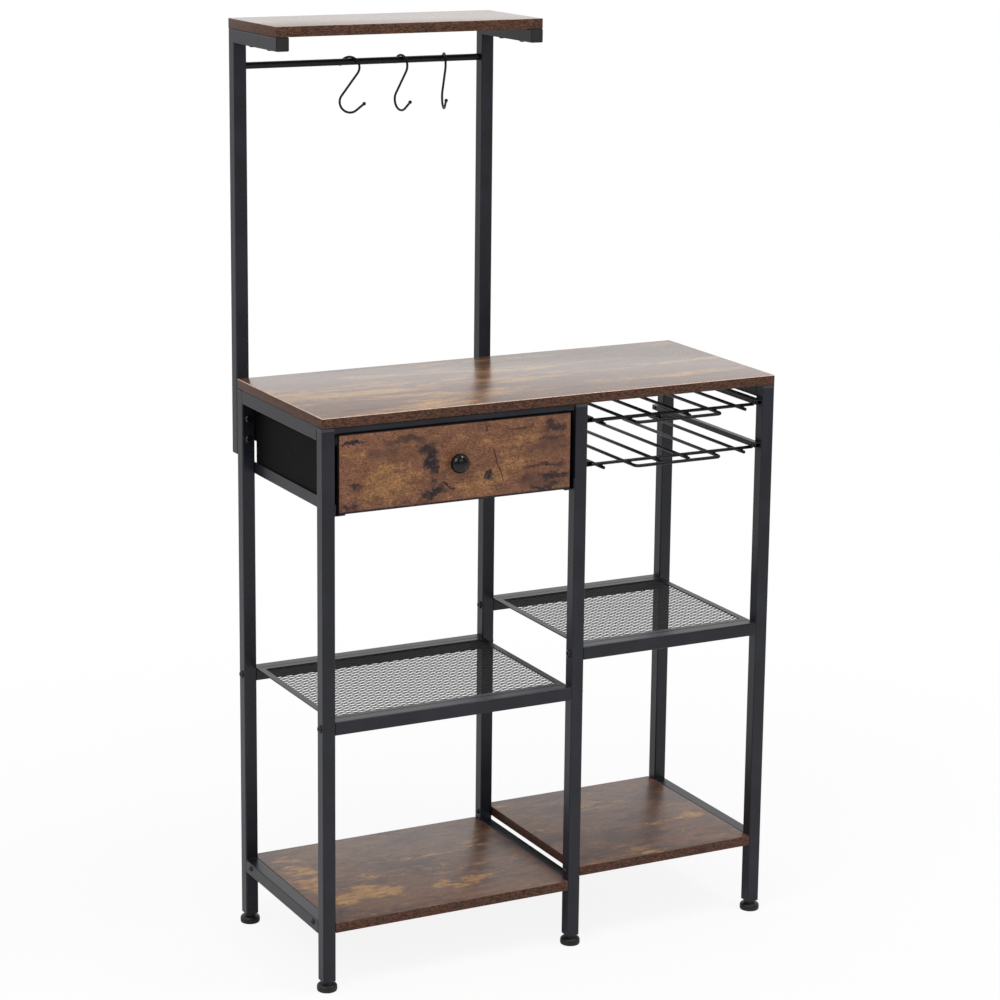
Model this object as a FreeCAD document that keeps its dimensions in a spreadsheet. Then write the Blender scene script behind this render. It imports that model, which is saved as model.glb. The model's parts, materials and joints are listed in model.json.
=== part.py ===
import FreeCAD, Part
import math
import os
import re

import Sketcher

# Coffee station: a slim rack of square steel tube with a worktop, a drawer, two mesh shelves,
# a two-tier wire rack, two low boards and a hutch with a hanging rod.
# Millimetres, +Z up, the front faces -Y, the origin is on the floor in the middle of the outer box.

SIZES = {
    # Whole object
    "frame_width": 745,
    "frame_depth": 310,
    "worktop_height": 855,
    "hutch_height": 1385,
    "left_bay": 384,
    # Square tube of the frame
    "tube": 20,
    "tube_wall": 1.2,
    "tube_corner": 2,
    # Wood boards
    "board": 15,
    "left_board_height": 105,
    "right_board_height": 125,
    # Levelling feet and the threaded inserts in the legs
    "foot_radius": 15,
    "foot_height": 11,
    "foot_edge": 2,
    "foot_shoulder": 3,
    "foot_neck": 5,
    "foot_neck_radius": 9,
    "stem_radius": 4,
    "stem_length": 24,
    "insert_height": 18,
    "insert_gap": 0.2,
    # Hutch
    "shelf_depth": 175,
    "post_lap": 115,
    "rod_drop": 69,
    "rod_radius": 5,
    "rod_wall": 1,
    "rod_seat": 10,
    "plug_depth": 12,
    # Hooks on the rod
    "hook_wire_radius": 1.75,
    "hook_upper_radius": 15,
    "hook_lower_radius": 15.5,
    "hook_drop": 52,
    "hook_upper_end": 165,
    "hook_lower_end": 50,
    "hook_tail": 16,
    "hook_ball_radius": 2.8,
    "hook_gap": 0.3,
    "first_hook_share": 0.44,
    "second_hook_share": 0.66,
    "third_hook_share": 0.846,
    "first_hook_turn": 50,
    "second_hook_turn": 12,
    "third_hook_turn": -17,
    # Mesh shelves
    "left_shelf_height": 410,
    "right_shelf_height": 470,
    "strip_width": 10,
    "strip": 2,
    "mesh": 1,
    "mesh_margin": 2,
    "mesh_pitch": 16,
    "mesh_row": 19,
    "mesh_strand": 2.5,
    "end_plate": 3,
    # Wire rack
    "upper_rack_drop": 40.5,
    "lower_rack_drop": 106.5,
    "rack_bar": 10,
    "rack_bar_height": 8,
    "rack_bar_wall": 1,
    "rack_bar_inset": 2,
    "rack_wire_radius": 2.5,
    "wire_left_gap": 36,
    "wire_right_gap": 22,
    "cross_wire_inset": 22,
    "cross_wire_end_gap": 2,
    "finger_inset": 13,
    "loop_inset": 3,
    "loop_bend": 7,
    # Drawer
    "front_rail": 10,
    "front_rail_wall": 1,
    "front_rail_inset": 4,
    "panel": 12,
    "panel_height": 112.7,
    "panel_left_gap": 5.5,
    "panel_right_gap": 8.5,
    "drawer_gap": 2.5,
    "runner_drop": 125.2,
    "runner_height": 17,
    "runner_wall": 1.5,
    "runner_flange": 16,
    "runner_inset": 1,
    "slide_gap": 0.3,
    "box_gap": 1,
    "box_back_gap": 6,
    "box_height": 98,
    "box_wall": 12,
    "tail_length": 14,
    "tail_height": 51,
    "drawer_floor": 4,
    "floor_lift": 6,
    "groove": 4,
    "groove_gap": 0.2,
    "dowel_radius": 2,
    "dowel_edge": 3.5,
    "dowel_length": 16,
    "dowel_inset": 22,
    # Knob
    "knob_neck_length": 5,
    "knob_head_length": 15,
    "knob_radius": 14.5,
    "knob_neck_radius": 7,
    "knob_edge": 4,
    "knob_lift": 2,
    "knob_grip": 12,
    # Screws and bolts
    "screw_radius": 2,
    "screw_head_radius": 4.5,
    "screw_head": 2.5,
    "rack_screw_radius": 1.5,
    "rack_screw_head_radius": 3.4,
    "rack_screw_head": 1.8,
    "bolt_radius": 3,
    "bolt_head_radius": 6,
    "bolt_head": 3,
    "head_crown": 1.2,
    "fit_gap": 0.1,
    "wood_grip": 18,
    "top_grip": 10,
    "rail_grip": 8,
    "bar_grip": 6,
    "board_screw_inset": 38,
    "top_screw_inset": 70,
    "arm_screw_inset": 45,
    "upper_bolt_drop": 58,
    "lower_bolt_drop": 89,
}

HOOKS = ("first", "second", "third")

# Places and lengths worked out from the sizes
PLACES = {
    "knob_reach": "knob_neck_length + knob_head_length",
    "widest_turn": "max(" + "; ".join(f"cos({hook}_hook_turn * 1 deg)" for hook in HOOKS) + ")",
    "hook_reach": "hook_wire_radius + hook_lower_radius * widest_turn",
    "back_reach": "tube / 2 + max(tube / 2; hook_reach)",
    "front": "(knob_reach - frame_depth - back_reach) / 2",
    "back": "front + frame_depth",
    "front_row": "front",
    "back_row": "back - tube",
    "inside_front": "front + tube",
    "side_depth": "frame_depth - 2 * tube",
    "left": "-frame_width / 2",
    "right": "frame_width / 2",
    "right_row": "right - tube",
    "middle": "left + tube + left_bay",
    "left_bay_start": "left + tube",
    "right_bay_start": "middle + tube",
    "right_bay": "right_row - right_bay_start",
    "hutch_width": "left_bay + 2 * tube",
    "leg_bottom": "foot_height + foot_neck",
    "under_top": "worktop_height - board",
    "leg_length": "under_top - leg_bottom",
    "tube_bore": "tube - 2 * tube_wall",
    "under_shelf": "hutch_height - board",
    "hutch_front": "back + tube - shelf_depth",
    "post_bottom": "worktop_height - post_lap",
    "upper_bolt_height": "worktop_height - upper_bolt_drop",
    "lower_bolt_height": "worktop_height - lower_bolt_drop",
    "rod_height": "hutch_height - rod_drop",
    "mitre_foot": "under_shelf - tube",
    "left_board_middle": "left_board_height - board / 2",
    "right_board_middle": "right_board_height - board / 2",
    "left_rail_middle": "left_shelf_height - tube / 2",
    "right_rail_middle": "right_shelf_height - tube / 2",
    "front_rail_bottom": "under_top - front_rail",
    "panel_bottom": "front_rail_bottom - drawer_gap - panel_height",
    "panel_left": "left_bay_start + panel_left_gap",
    "panel_width": "left_bay - panel_left_gap - panel_right_gap",
    "panel_back": "front + panel",
    "runner_bottom": "worktop_height - runner_drop - runner_height",
    "box_bottom": "runner_bottom + runner_wall + slide_gap",
    "box_left": "left_bay_start + runner_wall + box_gap",
    "box_width": "left_bay - 2 * (runner_wall + box_gap)",
    "box_right": "box_left + box_width",
    "box_end": "back - box_back_gap",
    "box_length": "box_end - panel_back",
    "box_back": "box_end - tail_length",
    "box_inside": "box_width - 2 * box_wall",
    "knob_across": "panel_left + panel_width / 2",
    "knob_height": "panel_bottom + panel_height / 2 + knob_lift",
    "rod_back": "back + tube / 2",
    "hook_upper_centre": "rod_radius + hook_gap + hook_wire_radius - hook_upper_radius",
    "hook_lower_centre": "hook_upper_centre - hook_drop",
    "hook_lean": "asin((hook_upper_radius + hook_lower_radius) / hook_drop)",
    "right_bay_middle": "right_bay_start + right_bay / 2",
    "upper_rack_height": "worktop_height - upper_rack_drop",
    "lower_rack_height": "worktop_height - lower_rack_drop",
    "wire_pitch": "(right_bay - wire_left_gap - wire_right_gap) / 5",
    "wires_middle": "right_bay_start + wire_left_gap + 2.5 * wire_pitch",
}

# Corner of each leg, as left face and front face
LEGS = {
    "front_left": ("left", "front_row"),
    "back_left": ("left", "back_row"),
    "front_middle": ("middle", "front_row"),
    "back_middle": ("middle", "back_row"),
    "front_right": ("right_row", "front_row"),
    "back_right": ("right_row", "back_row"),
}

X_AXIS = FreeCAD.Vector(1, 0, 0)
Y_AXIS = FreeCAD.Vector(0, 1, 0)
Z_AXIS = FreeCAD.Vector(0, 0, 1)
WAYS = {
    "+x": FreeCAD.Rotation(Y_AXIS, 90),
    "-x": FreeCAD.Rotation(Y_AXIS, -90),
    "+y": FreeCAD.Rotation(X_AXIS, -90),
    "-y": FreeCAD.Rotation(X_AXIS, 90),
    "+z": FreeCAD.Rotation(),
    "-z": FreeCAD.Rotation(X_AXIS, 180),
}
OPPOSITE = {"+x": "-x", "-x": "+x", "+y": "-y", "-y": "+y", "+z": "-z", "-z": "+z"}
SIZE_NAME = re.compile(r"[a-z][a-z0-9_]*")

doc = FreeCAD.newDocument("coffee_station")
sheet = doc.addObject("Spreadsheet::Sheet", "Sizes")
for row, (size_name, size_value) in enumerate(SIZES.items(), start=1):
    sheet.set(f"A{row}", size_name)
    sheet.set(f"B{row}", str(size_value))
    sheet.setAlias(f"B{row}", size_name)
doc.recompute()

finished = []


def formula(text):
    """Write a formula of size and place names as the sheet's own cells."""

    def cell(match):
        name = match.group()
        if name in PLACES:
            return "(" + formula(PLACES[name]) + ")"
        if name in SIZES:
            return "Sizes." + name
        return name

    return SIZE_NAME.sub(cell, str(text))


def bind(thing, **formulas):
    for size, text in formulas.items():
        thing.setExpression(size, formula(text))


def place(thing, spot, turn=WAYS["+z"]):
    """Turn a piece and bind its spot, three formulas, to the sizes."""
    thing.Placement = FreeCAD.Placement(FreeCAD.Vector(), turn)
    for axis, text in zip("xyz", spot):
        thing.setExpression("Placement.Base." + axis, formula(text))
    return thing


def finish(label, thing):
    """Name a piece that is complete, so that it gets a file of its own."""
    thing.Label = label
    finished.append(thing)
    return thing


def block(name, corner, size):
    thing = doc.addObject("Part::Box", name)
    bind(thing, Length=size[0], Width=size[1], Height=size[2])
    return place(thing, corner)


def bar(name, start, way, radius, length):
    thing = doc.addObject("Part::Cylinder", name)
    bind(thing, Radius=radius, Height=length)
    return place(thing, start, WAYS[way])


def cone(name, start, way, radius, end_radius, length):
    thing = doc.addObject("Part::Cone", name)
    bind(thing, Radius1=radius, Radius2=end_radius, Height=length)
    return place(thing, start, WAYS[way])


def ball(name, centre, radius):
    thing = doc.addObject("Part::Sphere", name)
    bind(thing, Radius=radius)
    return place(thing, centre)


def bend(name, centre, turn, bend_radius, wire_radius, sweep):
    thing = doc.addObject("Part::Torus", name)
    bind(thing, Radius1=bend_radius, Radius2=wire_radius, Angle3=sweep)
    return place(thing, centre, turn)


def join(name, things):
    thing = doc.addObject("Part::MultiFuse", name)
    thing.Shapes = things
    return thing


def group(name, things):
    thing = doc.addObject("Part::Compound", name)
    thing.Links = things
    return thing


def cut(name, base, tools):
    thing = doc.addObject("Part::Cut", name)
    thing.Base = base
    thing.Tool = tools[0] if len(tools) == 1 else group(name + "_cutters", tools)
    return thing


def plus(text, amount):
    return f"{text} + {amount}"


def minus(text, amount):
    return f"{text} - {amount}"


def size_constraint(sketch, name, constraint, text):
    """Add a constraint that the sizes drive."""
    index = sketch.addConstraint(constraint)
    sketch.renameConstraint(index, name)
    sketch.setExpression("Constraints." + name, formula(text))


def rectangle_lines(half, corner):
    """Four sides, anticlockwise from the bottom, each stopping short of its corners."""
    reach = half - corner
    ends = [(-reach, -half, reach, -half), (half, -reach, half, reach),
            (reach, half, -reach, half), (-half, reach, -half, -reach)]
    return [Part.LineSegment(FreeCAD.Vector(x0, y0), FreeCAD.Vector(x1, y1)) for x0, y0, x1, y1 in ends]


def sketch_rectangle(sketch, name, across, deep, corner=None):
    """A rectangle centred on the sketch, with round corners where a radius is given."""
    start_half = 10
    start_corner = 2 if corner else 0
    first = sketch.GeometryCount
    sketch.addGeometry(rectangle_lines(start_half, start_corner), False)
    make = Sketcher.Constraint
    for side in range(4):
        line, following = first + side, first + (side + 1) % 4
        if corner:
            reach = start_half - start_corner
            centre = FreeCAD.Vector((reach, reach, -reach, -reach)[side], (-reach, reach, reach, -reach)[side])
            start = math.radians(90 * side - 90)
            circle = Part.Circle(centre, Z_AXIS, start_corner)
            arc = sketch.addGeometry(Part.ArcOfCircle(circle, start, start + math.pi / 2), False)
            sketch.addConstraint(make("Tangent", line, 2, arc, 1))
            sketch.addConstraint(make("Tangent", arc, 2, following, 1))
            if side:
                sketch.addConstraint(make("Equal", first + 4, arc))
        else:
            sketch.addConstraint(make("Coincident", line, 2, following, 1))
        sketch.addConstraint(make("Vertical" if side % 2 else "Horizontal", line))
    if corner:
        sketch.addConstraint(make("Symmetric", first + 5, 3, first + 7, 3, -1, 1))
        size_constraint(sketch, name + "_corner", make("Radius", first + 4, start_corner), corner)
    else:
        sketch.addConstraint(make("Symmetric", first, 1, first + 2, 1, -1, 1))
    full = 2 * start_half
    size_constraint(sketch, name + "_across", make("DistanceX", first + 3, 1, first + 1, 1, full), across)
    size_constraint(sketch, name + "_deep", make("DistanceY", first, 1, first + 2, 1, full), deep)


def tube(name, corner, size, along, wall="tube_wall", radius="tube_corner"):
    """A rectangular tube that fills the given box, open at both ends along one axis."""
    x, y, z = corner
    wide, deep, high = size
    if along == "x":
        across, up, length, turn = high, deep, wide, WAYS["+x"]
        start = (x, plus(y, f"({deep}) / 2"), plus(z, f"({high}) / 2"))
    elif along == "y":
        across, up, length, turn = wide, high, deep, WAYS["+y"]
        start = (plus(x, f"({wide}) / 2"), y, plus(z, f"({high}) / 2"))
    else:
        across, up, length, turn = wide, deep, high, WAYS["+z"]
        start = (plus(x, f"({wide}) / 2"), plus(y, f"({deep}) / 2"), z)
    body = doc.addObject("PartDesign::Body", name)
    section = body.newObject("Sketcher::SketchObject", name + "_section")
    base_plane = [plane for plane in body.Origin.OriginFeatures if plane.Role == "XY_Plane"][0]
    section.AttachmentSupport = [(base_plane, "")]
    section.MapMode = "FlatFace"
    sketch_rectangle(section, "outside", across, up, radius)
    sketch_rectangle(section, "inside", f"({across}) - 2 * {wall}", f"({up}) - 2 * {wall}")
    pad = body.newObject("PartDesign::Pad", name + "_pad")
    pad.Profile = section
    bind(pad, Length=length)
    return place(body, start, turn)


class Screw:
    """A headed screw: the underside of its head is at start, and its shank runs along way."""

    def __init__(self, name, start, way, length, kind="screw"):
        self.start, self.way, self.length = start, way, length
        self.radius = kind + "_radius"
        self.bore = bar(name + "_bore", start, way, plus(self.radius, "fit_gap"), plus(length, "fit_gap"))
        head = cone(name + "_head", start, OPPOSITE[way], kind + "_head_radius",
                    f"{kind}_head_radius - head_crown", kind + "_head")
        shank = bar(name + "_shank", start, way, self.radius, length)
        self.solid = join(name, [head, shank])


def bores(screws):
    return [screw.bore for screw in screws]


def solids(screws):
    return [screw.solid for screw in screws]


def half_way(text, amount="tube"):
    return f"{text} + {amount} / 2"


# Screws that hold the mesh shelves: through each leg into the end of a shelf rail
rows = {"front": half_way("front_row"), "back": half_way("back_row")}
shelf_screws = {}
for shelf, near, far in (("left", "left", "right_bay_start"), ("right", "middle", "right")):
    for row, across in rows.items():
        height = shelf + "_rail_middle"
        grip = "tube + rail_grip"
        shelf_screws[shelf, row] = [
            Screw(f"{shelf}_{row}_shelf_screw_near", (near, across, height), "+x", grip, "bolt"),
            Screw(f"{shelf}_{row}_shelf_screw_far", (far, across, height), "-x", grip, "bolt"),
        ]

# Screws that hold the low boards: through the side rails, and through the middle legs on the right
insets = {"front": "front + board_screw_inset", "back": "back - board_screw_inset"}
board_screws = {"left_near": [], "left_far": [], "right_near": [], "right_far": []}
for row, across in insets.items():
    grip = "tube + wood_grip"
    for ends, start, way, height, spot in (
            ("left_near", "left", "+x", "left_board_middle", across),
            ("left_far", "right_bay_start", "-x", "left_board_middle", across),
            ("right_near", "middle", "+x", "right_board_middle", rows[row]),
            ("right_far", "right", "-x", "right_board_middle", across)):
        board_screws[ends].append(Screw(f"{ends}_{row}_board_screw", (start, spot, height), way, grip))

# Screws that hold the worktop and the top shelf from below
top_screws = {}
for side, across in (("left", "left"), ("middle", "middle"), ("right", "right_row")):
    top_screws[side] = [
        Screw(f"{side}_{row}_top_screw", (half_way(across), spot, "under_top - tube"), "+z", "tube + top_grip")
        for row, spot in (("front", "front + top_screw_inset"), ("back", "back - top_screw_inset"))]
arm_screws = {}
for side, across in (("left", "left"), ("right", "middle")):
    arm_screws[side] = [
        Screw(f"{side}_{row}_arm_screw", (half_way(across), spot, "mitre_foot"), "+z", "tube + top_grip")
        for row, spot in (("front", "hutch_front + arm_screw_inset"), ("back", "back - arm_screw_inset"))]

# Bolts that hold the hutch posts to the back legs
hutch_bolts = {
    side: [Screw(f"{side}_{level}_bolt", (half_way(across), "back_row", level + "_bolt_height"), "+y",
                 "tube + bar_grip", "bolt") for level in ("upper", "lower")]
    for side, across in (("left", "left"), ("right", "middle"))}

# Screws that hold the side bars of the wire rack to the legs
rack_screws = {}
for tier in ("upper", "lower"):
    for row, across in rows.items():
        grip = "rack_bar + bar_grip"
        height = tier + "_rack_height"
        rack_screws[tier, row, "left"] = Screw(
            f"{tier}_{row}_rack_screw_left", ("right_bay_start + rack_bar", across, height), "-x", grip,
            "rack_screw")
        rack_screws[tier, row, "right"] = Screw(
            f"{tier}_{row}_rack_screw_right", ("right_row - rack_bar", across, height), "+x", grip,
            "rack_screw")


def leg_screws(leg):
    """Every screw and bolt that passes through one leg."""
    row, side = leg.split("_")
    through = []
    if side in ("left", "middle"):
        through.append(shelf_screws["left", row][0 if side == "left" else 1])
    if side in ("middle", "right"):
        through.append(shelf_screws["right", row][0 if side == "middle" else 1])
        edge = "left" if side == "middle" else "right"
        through += [rack_screws[tier, row, edge] for tier in ("upper", "lower")]
    if side == "middle":
        through.append(board_screws["right_near"][0 if row == "front" else 1])
    if row == "back" and side in ("left", "middle"):
        through += hutch_bolts["left" if side == "left" else "right"]
    return through


# Legs, threaded inserts and levelling feet
inserts = []
for leg, (across, row) in LEGS.items():
    upright = tube(leg + "_tube", (across, row, "leg_bottom"), ("tube", "tube", "leg_length"), "z")
    finish(leg + "_leg", cut(leg + "_drilled", upright, bores(leg_screws(leg))))
    middle_x, middle_y = half_way(across), half_way(row)
    edge = "tube_wall + insert_gap"
    insert = block(leg + "_insert_block", (plus(across, edge), plus(row, edge), "leg_bottom"),
                   (f"tube - 2 * ({edge})", f"tube - 2 * ({edge})", "insert_height"))
    thread = bar(leg + "_insert_thread", (middle_x, middle_y, "leg_bottom"), "+z",
                 "stem_radius + fit_gap", "insert_height")
    inserts.append(cut(leg + "_insert", insert, [thread]))
    shoulder = "foot_height - foot_shoulder"
    foot_pieces = [
        cone(leg + "_foot_base", (middle_x, middle_y, "0"), "+z", "foot_radius - foot_edge", "foot_radius",
             "foot_edge"),
        bar(leg + "_foot_rim", (middle_x, middle_y, "foot_edge"), "+z", "foot_radius",
            minus(shoulder, "foot_edge")),
        cone(leg + "_foot_top", (middle_x, middle_y, shoulder), "+z", "foot_radius",
             "foot_radius - foot_shoulder", "foot_shoulder"),
        bar(leg + "_foot_nut", (middle_x, middle_y, "foot_height"), "+z", "foot_neck_radius", "foot_neck"),
        bar(leg + "_foot_stem", (middle_x, middle_y, "foot_height"), "+z", "stem_radius", "stem_length"),
    ]
    finish(leg + "_foot", join(leg + "_foot_joined", foot_pieces))
finish("leg_inserts", group("inserts", inserts))

# Side rails between the front and back legs
for side, across in (("left", "left"), ("middle", "middle"), ("right", "right_row")):
    top_rail = tube(side + "_top_tube", (across, "inside_front", "under_top - tube"),
                    ("tube", "side_depth", "tube"), "y")
    finish(side + "_top_rail", cut(side + "_top_drilled", top_rail, bores(top_screws[side])))
    height = "right_board_height" if side == "right" else "left_board_height"
    ends = {"left": "left_near", "middle": "left_far", "right": "right_far"}[side]
    low_rail = tube(side + "_bottom_tube", (across, "inside_front", minus(height, "tube")),
                    ("tube", "side_depth", "tube"), "y")
    finish(side + "_bottom_rail", cut(side + "_bottom_drilled", low_rail, bores(board_screws[ends])))
front_rail_place = ("left_bay_start", "front + front_rail_inset", "front_rail_bottom")
finish("drawer_top_rail", tube("drawer_top_tube", front_rail_place, ("left_bay", "front_rail", "front_rail"), "x",
                               "front_rail_wall"))

# Boards
worktop = block("worktop_board", ("left", "front", "under_top"), ("frame_width", "frame_depth", "board"))
finish("worktop", cut("worktop_drilled", worktop, bores(sum(top_screws.values(), []))))
for side, start, length in (("left", "left_bay_start", "left_bay"), ("right", "right_bay_start", "right_bay")):
    low_board = block(side + "_low_board", (start, "front", f"{side}_board_height - board"),
                      (length, "frame_depth", "board"))
    held_by = board_screws[side + "_near"] + board_screws[side + "_far"]
    finish(side + "_bottom_board", cut(side + "_low_board_drilled", low_board, bores(held_by)))
top_board = block("top_board", ("left", "hutch_front", "under_shelf"), ("hutch_width", "shelf_depth", "board"))
finish("top_shelf", cut("top_board_drilled", top_board, bores(sum(arm_screws.values(), []))))


def mesh_sheet(name, blank):
    """Expanded mesh: a thin sheet with staggered diamond openings, clear of the strips that hold it."""
    doc.recompute()
    box = blank.Shape.BoundBox
    edge = sheet.strip_width - sheet.mesh_margin + sheet.mesh_strand
    half_x = sheet.mesh_pitch / 2 - sheet.mesh_strand
    half_y = sheet.mesh_row - sheet.mesh_strand
    rows_of_gaps = int((box.YLength - 2 * (edge + half_y)) // sheet.mesh_row) + 1
    gaps_in_row = int((box.XLength - 2 * (edge + half_x) - sheet.mesh_pitch / 2) // sheet.mesh_pitch) + 1
    first_x = box.Center.x - (gaps_in_row - 0.5) * sheet.mesh_pitch / 2
    first_y = box.Center.y - (rows_of_gaps - 1) * sheet.mesh_row / 2
    corners = [(box.XMin, box.YMin), (box.XMax, box.YMin), (box.XMax, box.YMax), (box.XMin, box.YMax)]
    outlines = [corners]
    for row in range(rows_of_gaps):
        y = first_y + row * sheet.mesh_row
        for gap in range(gaps_in_row):
            x = first_x + (gap + row % 2 / 2) * sheet.mesh_pitch
            outlines.append([(x - half_x, y), (x, y - half_y), (x + half_x, y), (x, y + half_y)])
    wires = [Part.makePolygon([FreeCAD.Vector(x, y, box.ZMin) for x, y in points + points[:1]])
             for points in outlines]
    thing = doc.addObject("Part::Feature", name)
    thing.Shape = Part.makeFace(wires, "Part::FaceMakerBullseye").extrude(FreeCAD.Vector(0, 0, box.ZLength))
    print(name, "has", rows_of_gaps * gaps_in_row, "openings")
    return thing


# Mesh shelves: two rails with closed ends, a flat strip frame between them and a sheet of mesh below it
for side, start, length in (("left", "left_bay_start", "left_bay"), ("right", "right_bay_start", "right_bay")):
    height = side + "_shelf_height"
    bottom = minus(height, "tube")
    for row, across in (("front", "front_row"), ("back", "back_row")):
        name = f"{side}_shelf_{row}"
        hollow = tube(name + "_tube", (start, across, bottom), (length, "tube", "tube"), "x")
        plate_size = ("end_plate", "tube_bore", "tube_bore")
        plate_row, plate_height = plus(across, "tube_wall"), plus(bottom, "tube_wall")
        plates = [block(name + "_near_plate", (start, plate_row, plate_height), plate_size),
                  block(name + "_far_plate", (f"{start} + {length} - end_plate", plate_row, plate_height),
                        plate_size)]
        rail = join(name + "_closed", [hollow] + plates)
        finish(name + "_rail", cut(name + "_drilled", rail, bores(shelf_screws[side, row])))
    frame_bottom = minus(height, "strip")
    outside = block(side + "_frame_outside", (start, "inside_front", frame_bottom),
                    (length, "side_depth", "strip"))
    inside = block(side + "_frame_inside",
                   (plus(start, "strip_width"), "inside_front + strip_width", frame_bottom),
                   (minus(length, "2 * strip_width"), "side_depth - 2 * strip_width", "strip"))
    finish(side + "_shelf_frame", cut(side + "_frame_strips", outside, [inside]))
    blank = block(side + "_mesh_blank",
                  (plus(start, "mesh_margin"), "inside_front + mesh_margin", minus(frame_bottom, "mesh")),
                  (minus(length, "2 * mesh_margin"), "side_depth - 2 * mesh_margin", "mesh"))
    finish(side + "_shelf_mesh", mesh_sheet(side + "_mesh", blank))

# Hutch: posts and arms mitred at 45 degrees, with plugs in the open ends
plugs = []
mitre_turn = FreeCAD.Rotation(X_AXIS, 45)
plug_edge = "tube_wall + insert_gap"
plug_side = f"tube - 2 * ({plug_edge})"
for side, across, inner_face, rod_way in (("left", "left", "left_bay_start", "-x"),
                                          ("right", "middle", "middle", "+x")):
    above = block(side + "_mitre_above", ("0", "0", "0"), ("tube", "4 * tube", "2 * tube"))
    place(above, (across, "back - tube", "mitre_foot - tube"), mitre_turn)
    below = block(side + "_mitre_below", ("0", "0", "0"), ("tube", "4 * tube", "sqrt(2) * tube"))
    place(below, (across, "back", "mitre_foot - 2 * tube"), mitre_turn)
    rod_hole = bar(side + "_rod_hole", (inner_face, "rod_back", "rod_height"), rod_way,
                   "rod_radius + fit_gap", "rod_seat + fit_gap")
    post = tube(side + "_post_tube", (across, "back", "post_bottom"),
                ("tube", "tube", "under_shelf - post_bottom"), "z")
    finish(side + "_post", cut(side + "_post_cut", post, [above, rod_hole] + bores(hutch_bolts[side])))
    arm = tube(side + "_arm_tube", (across, "hutch_front", "mitre_foot"), ("tube", "shelf_depth", "tube"), "y")
    finish(side + "_arm", cut(side + "_arm_cut", arm, [below] + bores(arm_screws[side])))
    plugs.append(block(side + "_post_plug", (plus(across, plug_edge), plus("back", plug_edge), "post_bottom"),
                       (plug_side, plug_side, "plug_depth")))
    plugs.append(block(side + "_arm_plug",
                       (plus(across, plug_edge), "hutch_front", plus("mitre_foot", plug_edge)),
                       (plug_side, "plug_depth", plug_side)))
finish("hutch_end_plugs", group("end_plugs", plugs))
rod_start = ("left_bay_start - rod_seat", "rod_back", "rod_height")
rod_length = "left_bay + 2 * rod_seat"
rod = bar("rod_outside", rod_start, "+x", "rod_radius", rod_length)
rod_bore = bar("rod_inside", rod_start, "+x", "rod_radius - rod_wall", rod_length)
finish("hanging_rod", cut("rod_hollow", rod, [rod_bore]))


def s_hook(name):
    """An S of round wire in the XZ plane, hung from the origin, with a ball on each end."""
    wire, upper, lower = "hook_wire_radius", "hook_upper_radius", "hook_lower_radius"
    top, low = ("0", "0", "hook_upper_centre"), ("0", "0", "hook_lower_centre")
    stand = FreeCAD.Rotation(X_AXIS, 90)
    hang = FreeCAD.Rotation(X_AXIS, -90)
    about = FreeCAD.Rotation(Y_AXIS, 180)
    slope = bar(name + "_slope", (f"-{lower} * cos(hook_lean)", "0",
                                  f"hook_lower_centre + {lower} * sin(hook_lean)"), "+z", wire,
                f"sqrt(hook_drop ^ 2 - ({upper} + {lower}) ^ 2)")
    slope.Placement = FreeCAD.Placement(slope.Placement.Base, FreeCAD.Rotation(Y_AXIS, 30))
    slope.setExpression("Placement.Rotation.Angle", formula("hook_lean"))
    upper_turn, lower_turn = "hook_upper_end * 1 deg", "hook_lower_end * 1 deg"
    tail_start, tail_low = f"{lower} * cos({lower_turn})", f"hook_lower_centre - {lower} * sin({lower_turn})"
    tail = bar(name + "_tail", (tail_start, "0", tail_low), "+z", wire, "hook_tail")
    tail.Placement = FreeCAD.Placement(tail.Placement.Base, FreeCAD.Rotation(Y_AXIS, 30))
    tail.setExpression("Placement.Rotation.Angle", formula("hook_lower_end"))
    return join(name, [
        bend(name + "_over", top, stand, upper, wire, "hook_upper_end"),
        bend(name + "_down", top, hang, upper, wire, "hook_lean"),
        slope,
        bend(name + "_turn", low, about * hang, lower, wire, "hook_lean"),
        bend(name + "_under", low, about * stand, lower, wire, "180 - hook_lower_end"),
        ball(name + "_upper_ball", (f"{upper} * cos({upper_turn})", "0",
                                    f"hook_upper_centre + {upper} * sin({upper_turn})"), "hook_ball_radius"),
        tail,
        ball(name + "_lower_ball", (f"{tail_start} + hook_tail * sin({lower_turn})", "0",
                                    f"{tail_low} + hook_tail * cos({lower_turn})"), "hook_ball_radius"),
    ])


# Hooks, each turned its own way about a vertical line through the rod; a turn of 0 faces the front
for hook in HOOKS:
    hung = s_hook(hook + "_hook_wire")
    turn = FreeCAD.Rotation(Z_AXIS, sheet.get(hook + "_hook_turn") - 90)
    place(hung, (f"left_bay_start + {hook}_hook_share * left_bay", "rod_back", "rod_height"), turn)
    finish(hook + "_hook", hung)

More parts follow.
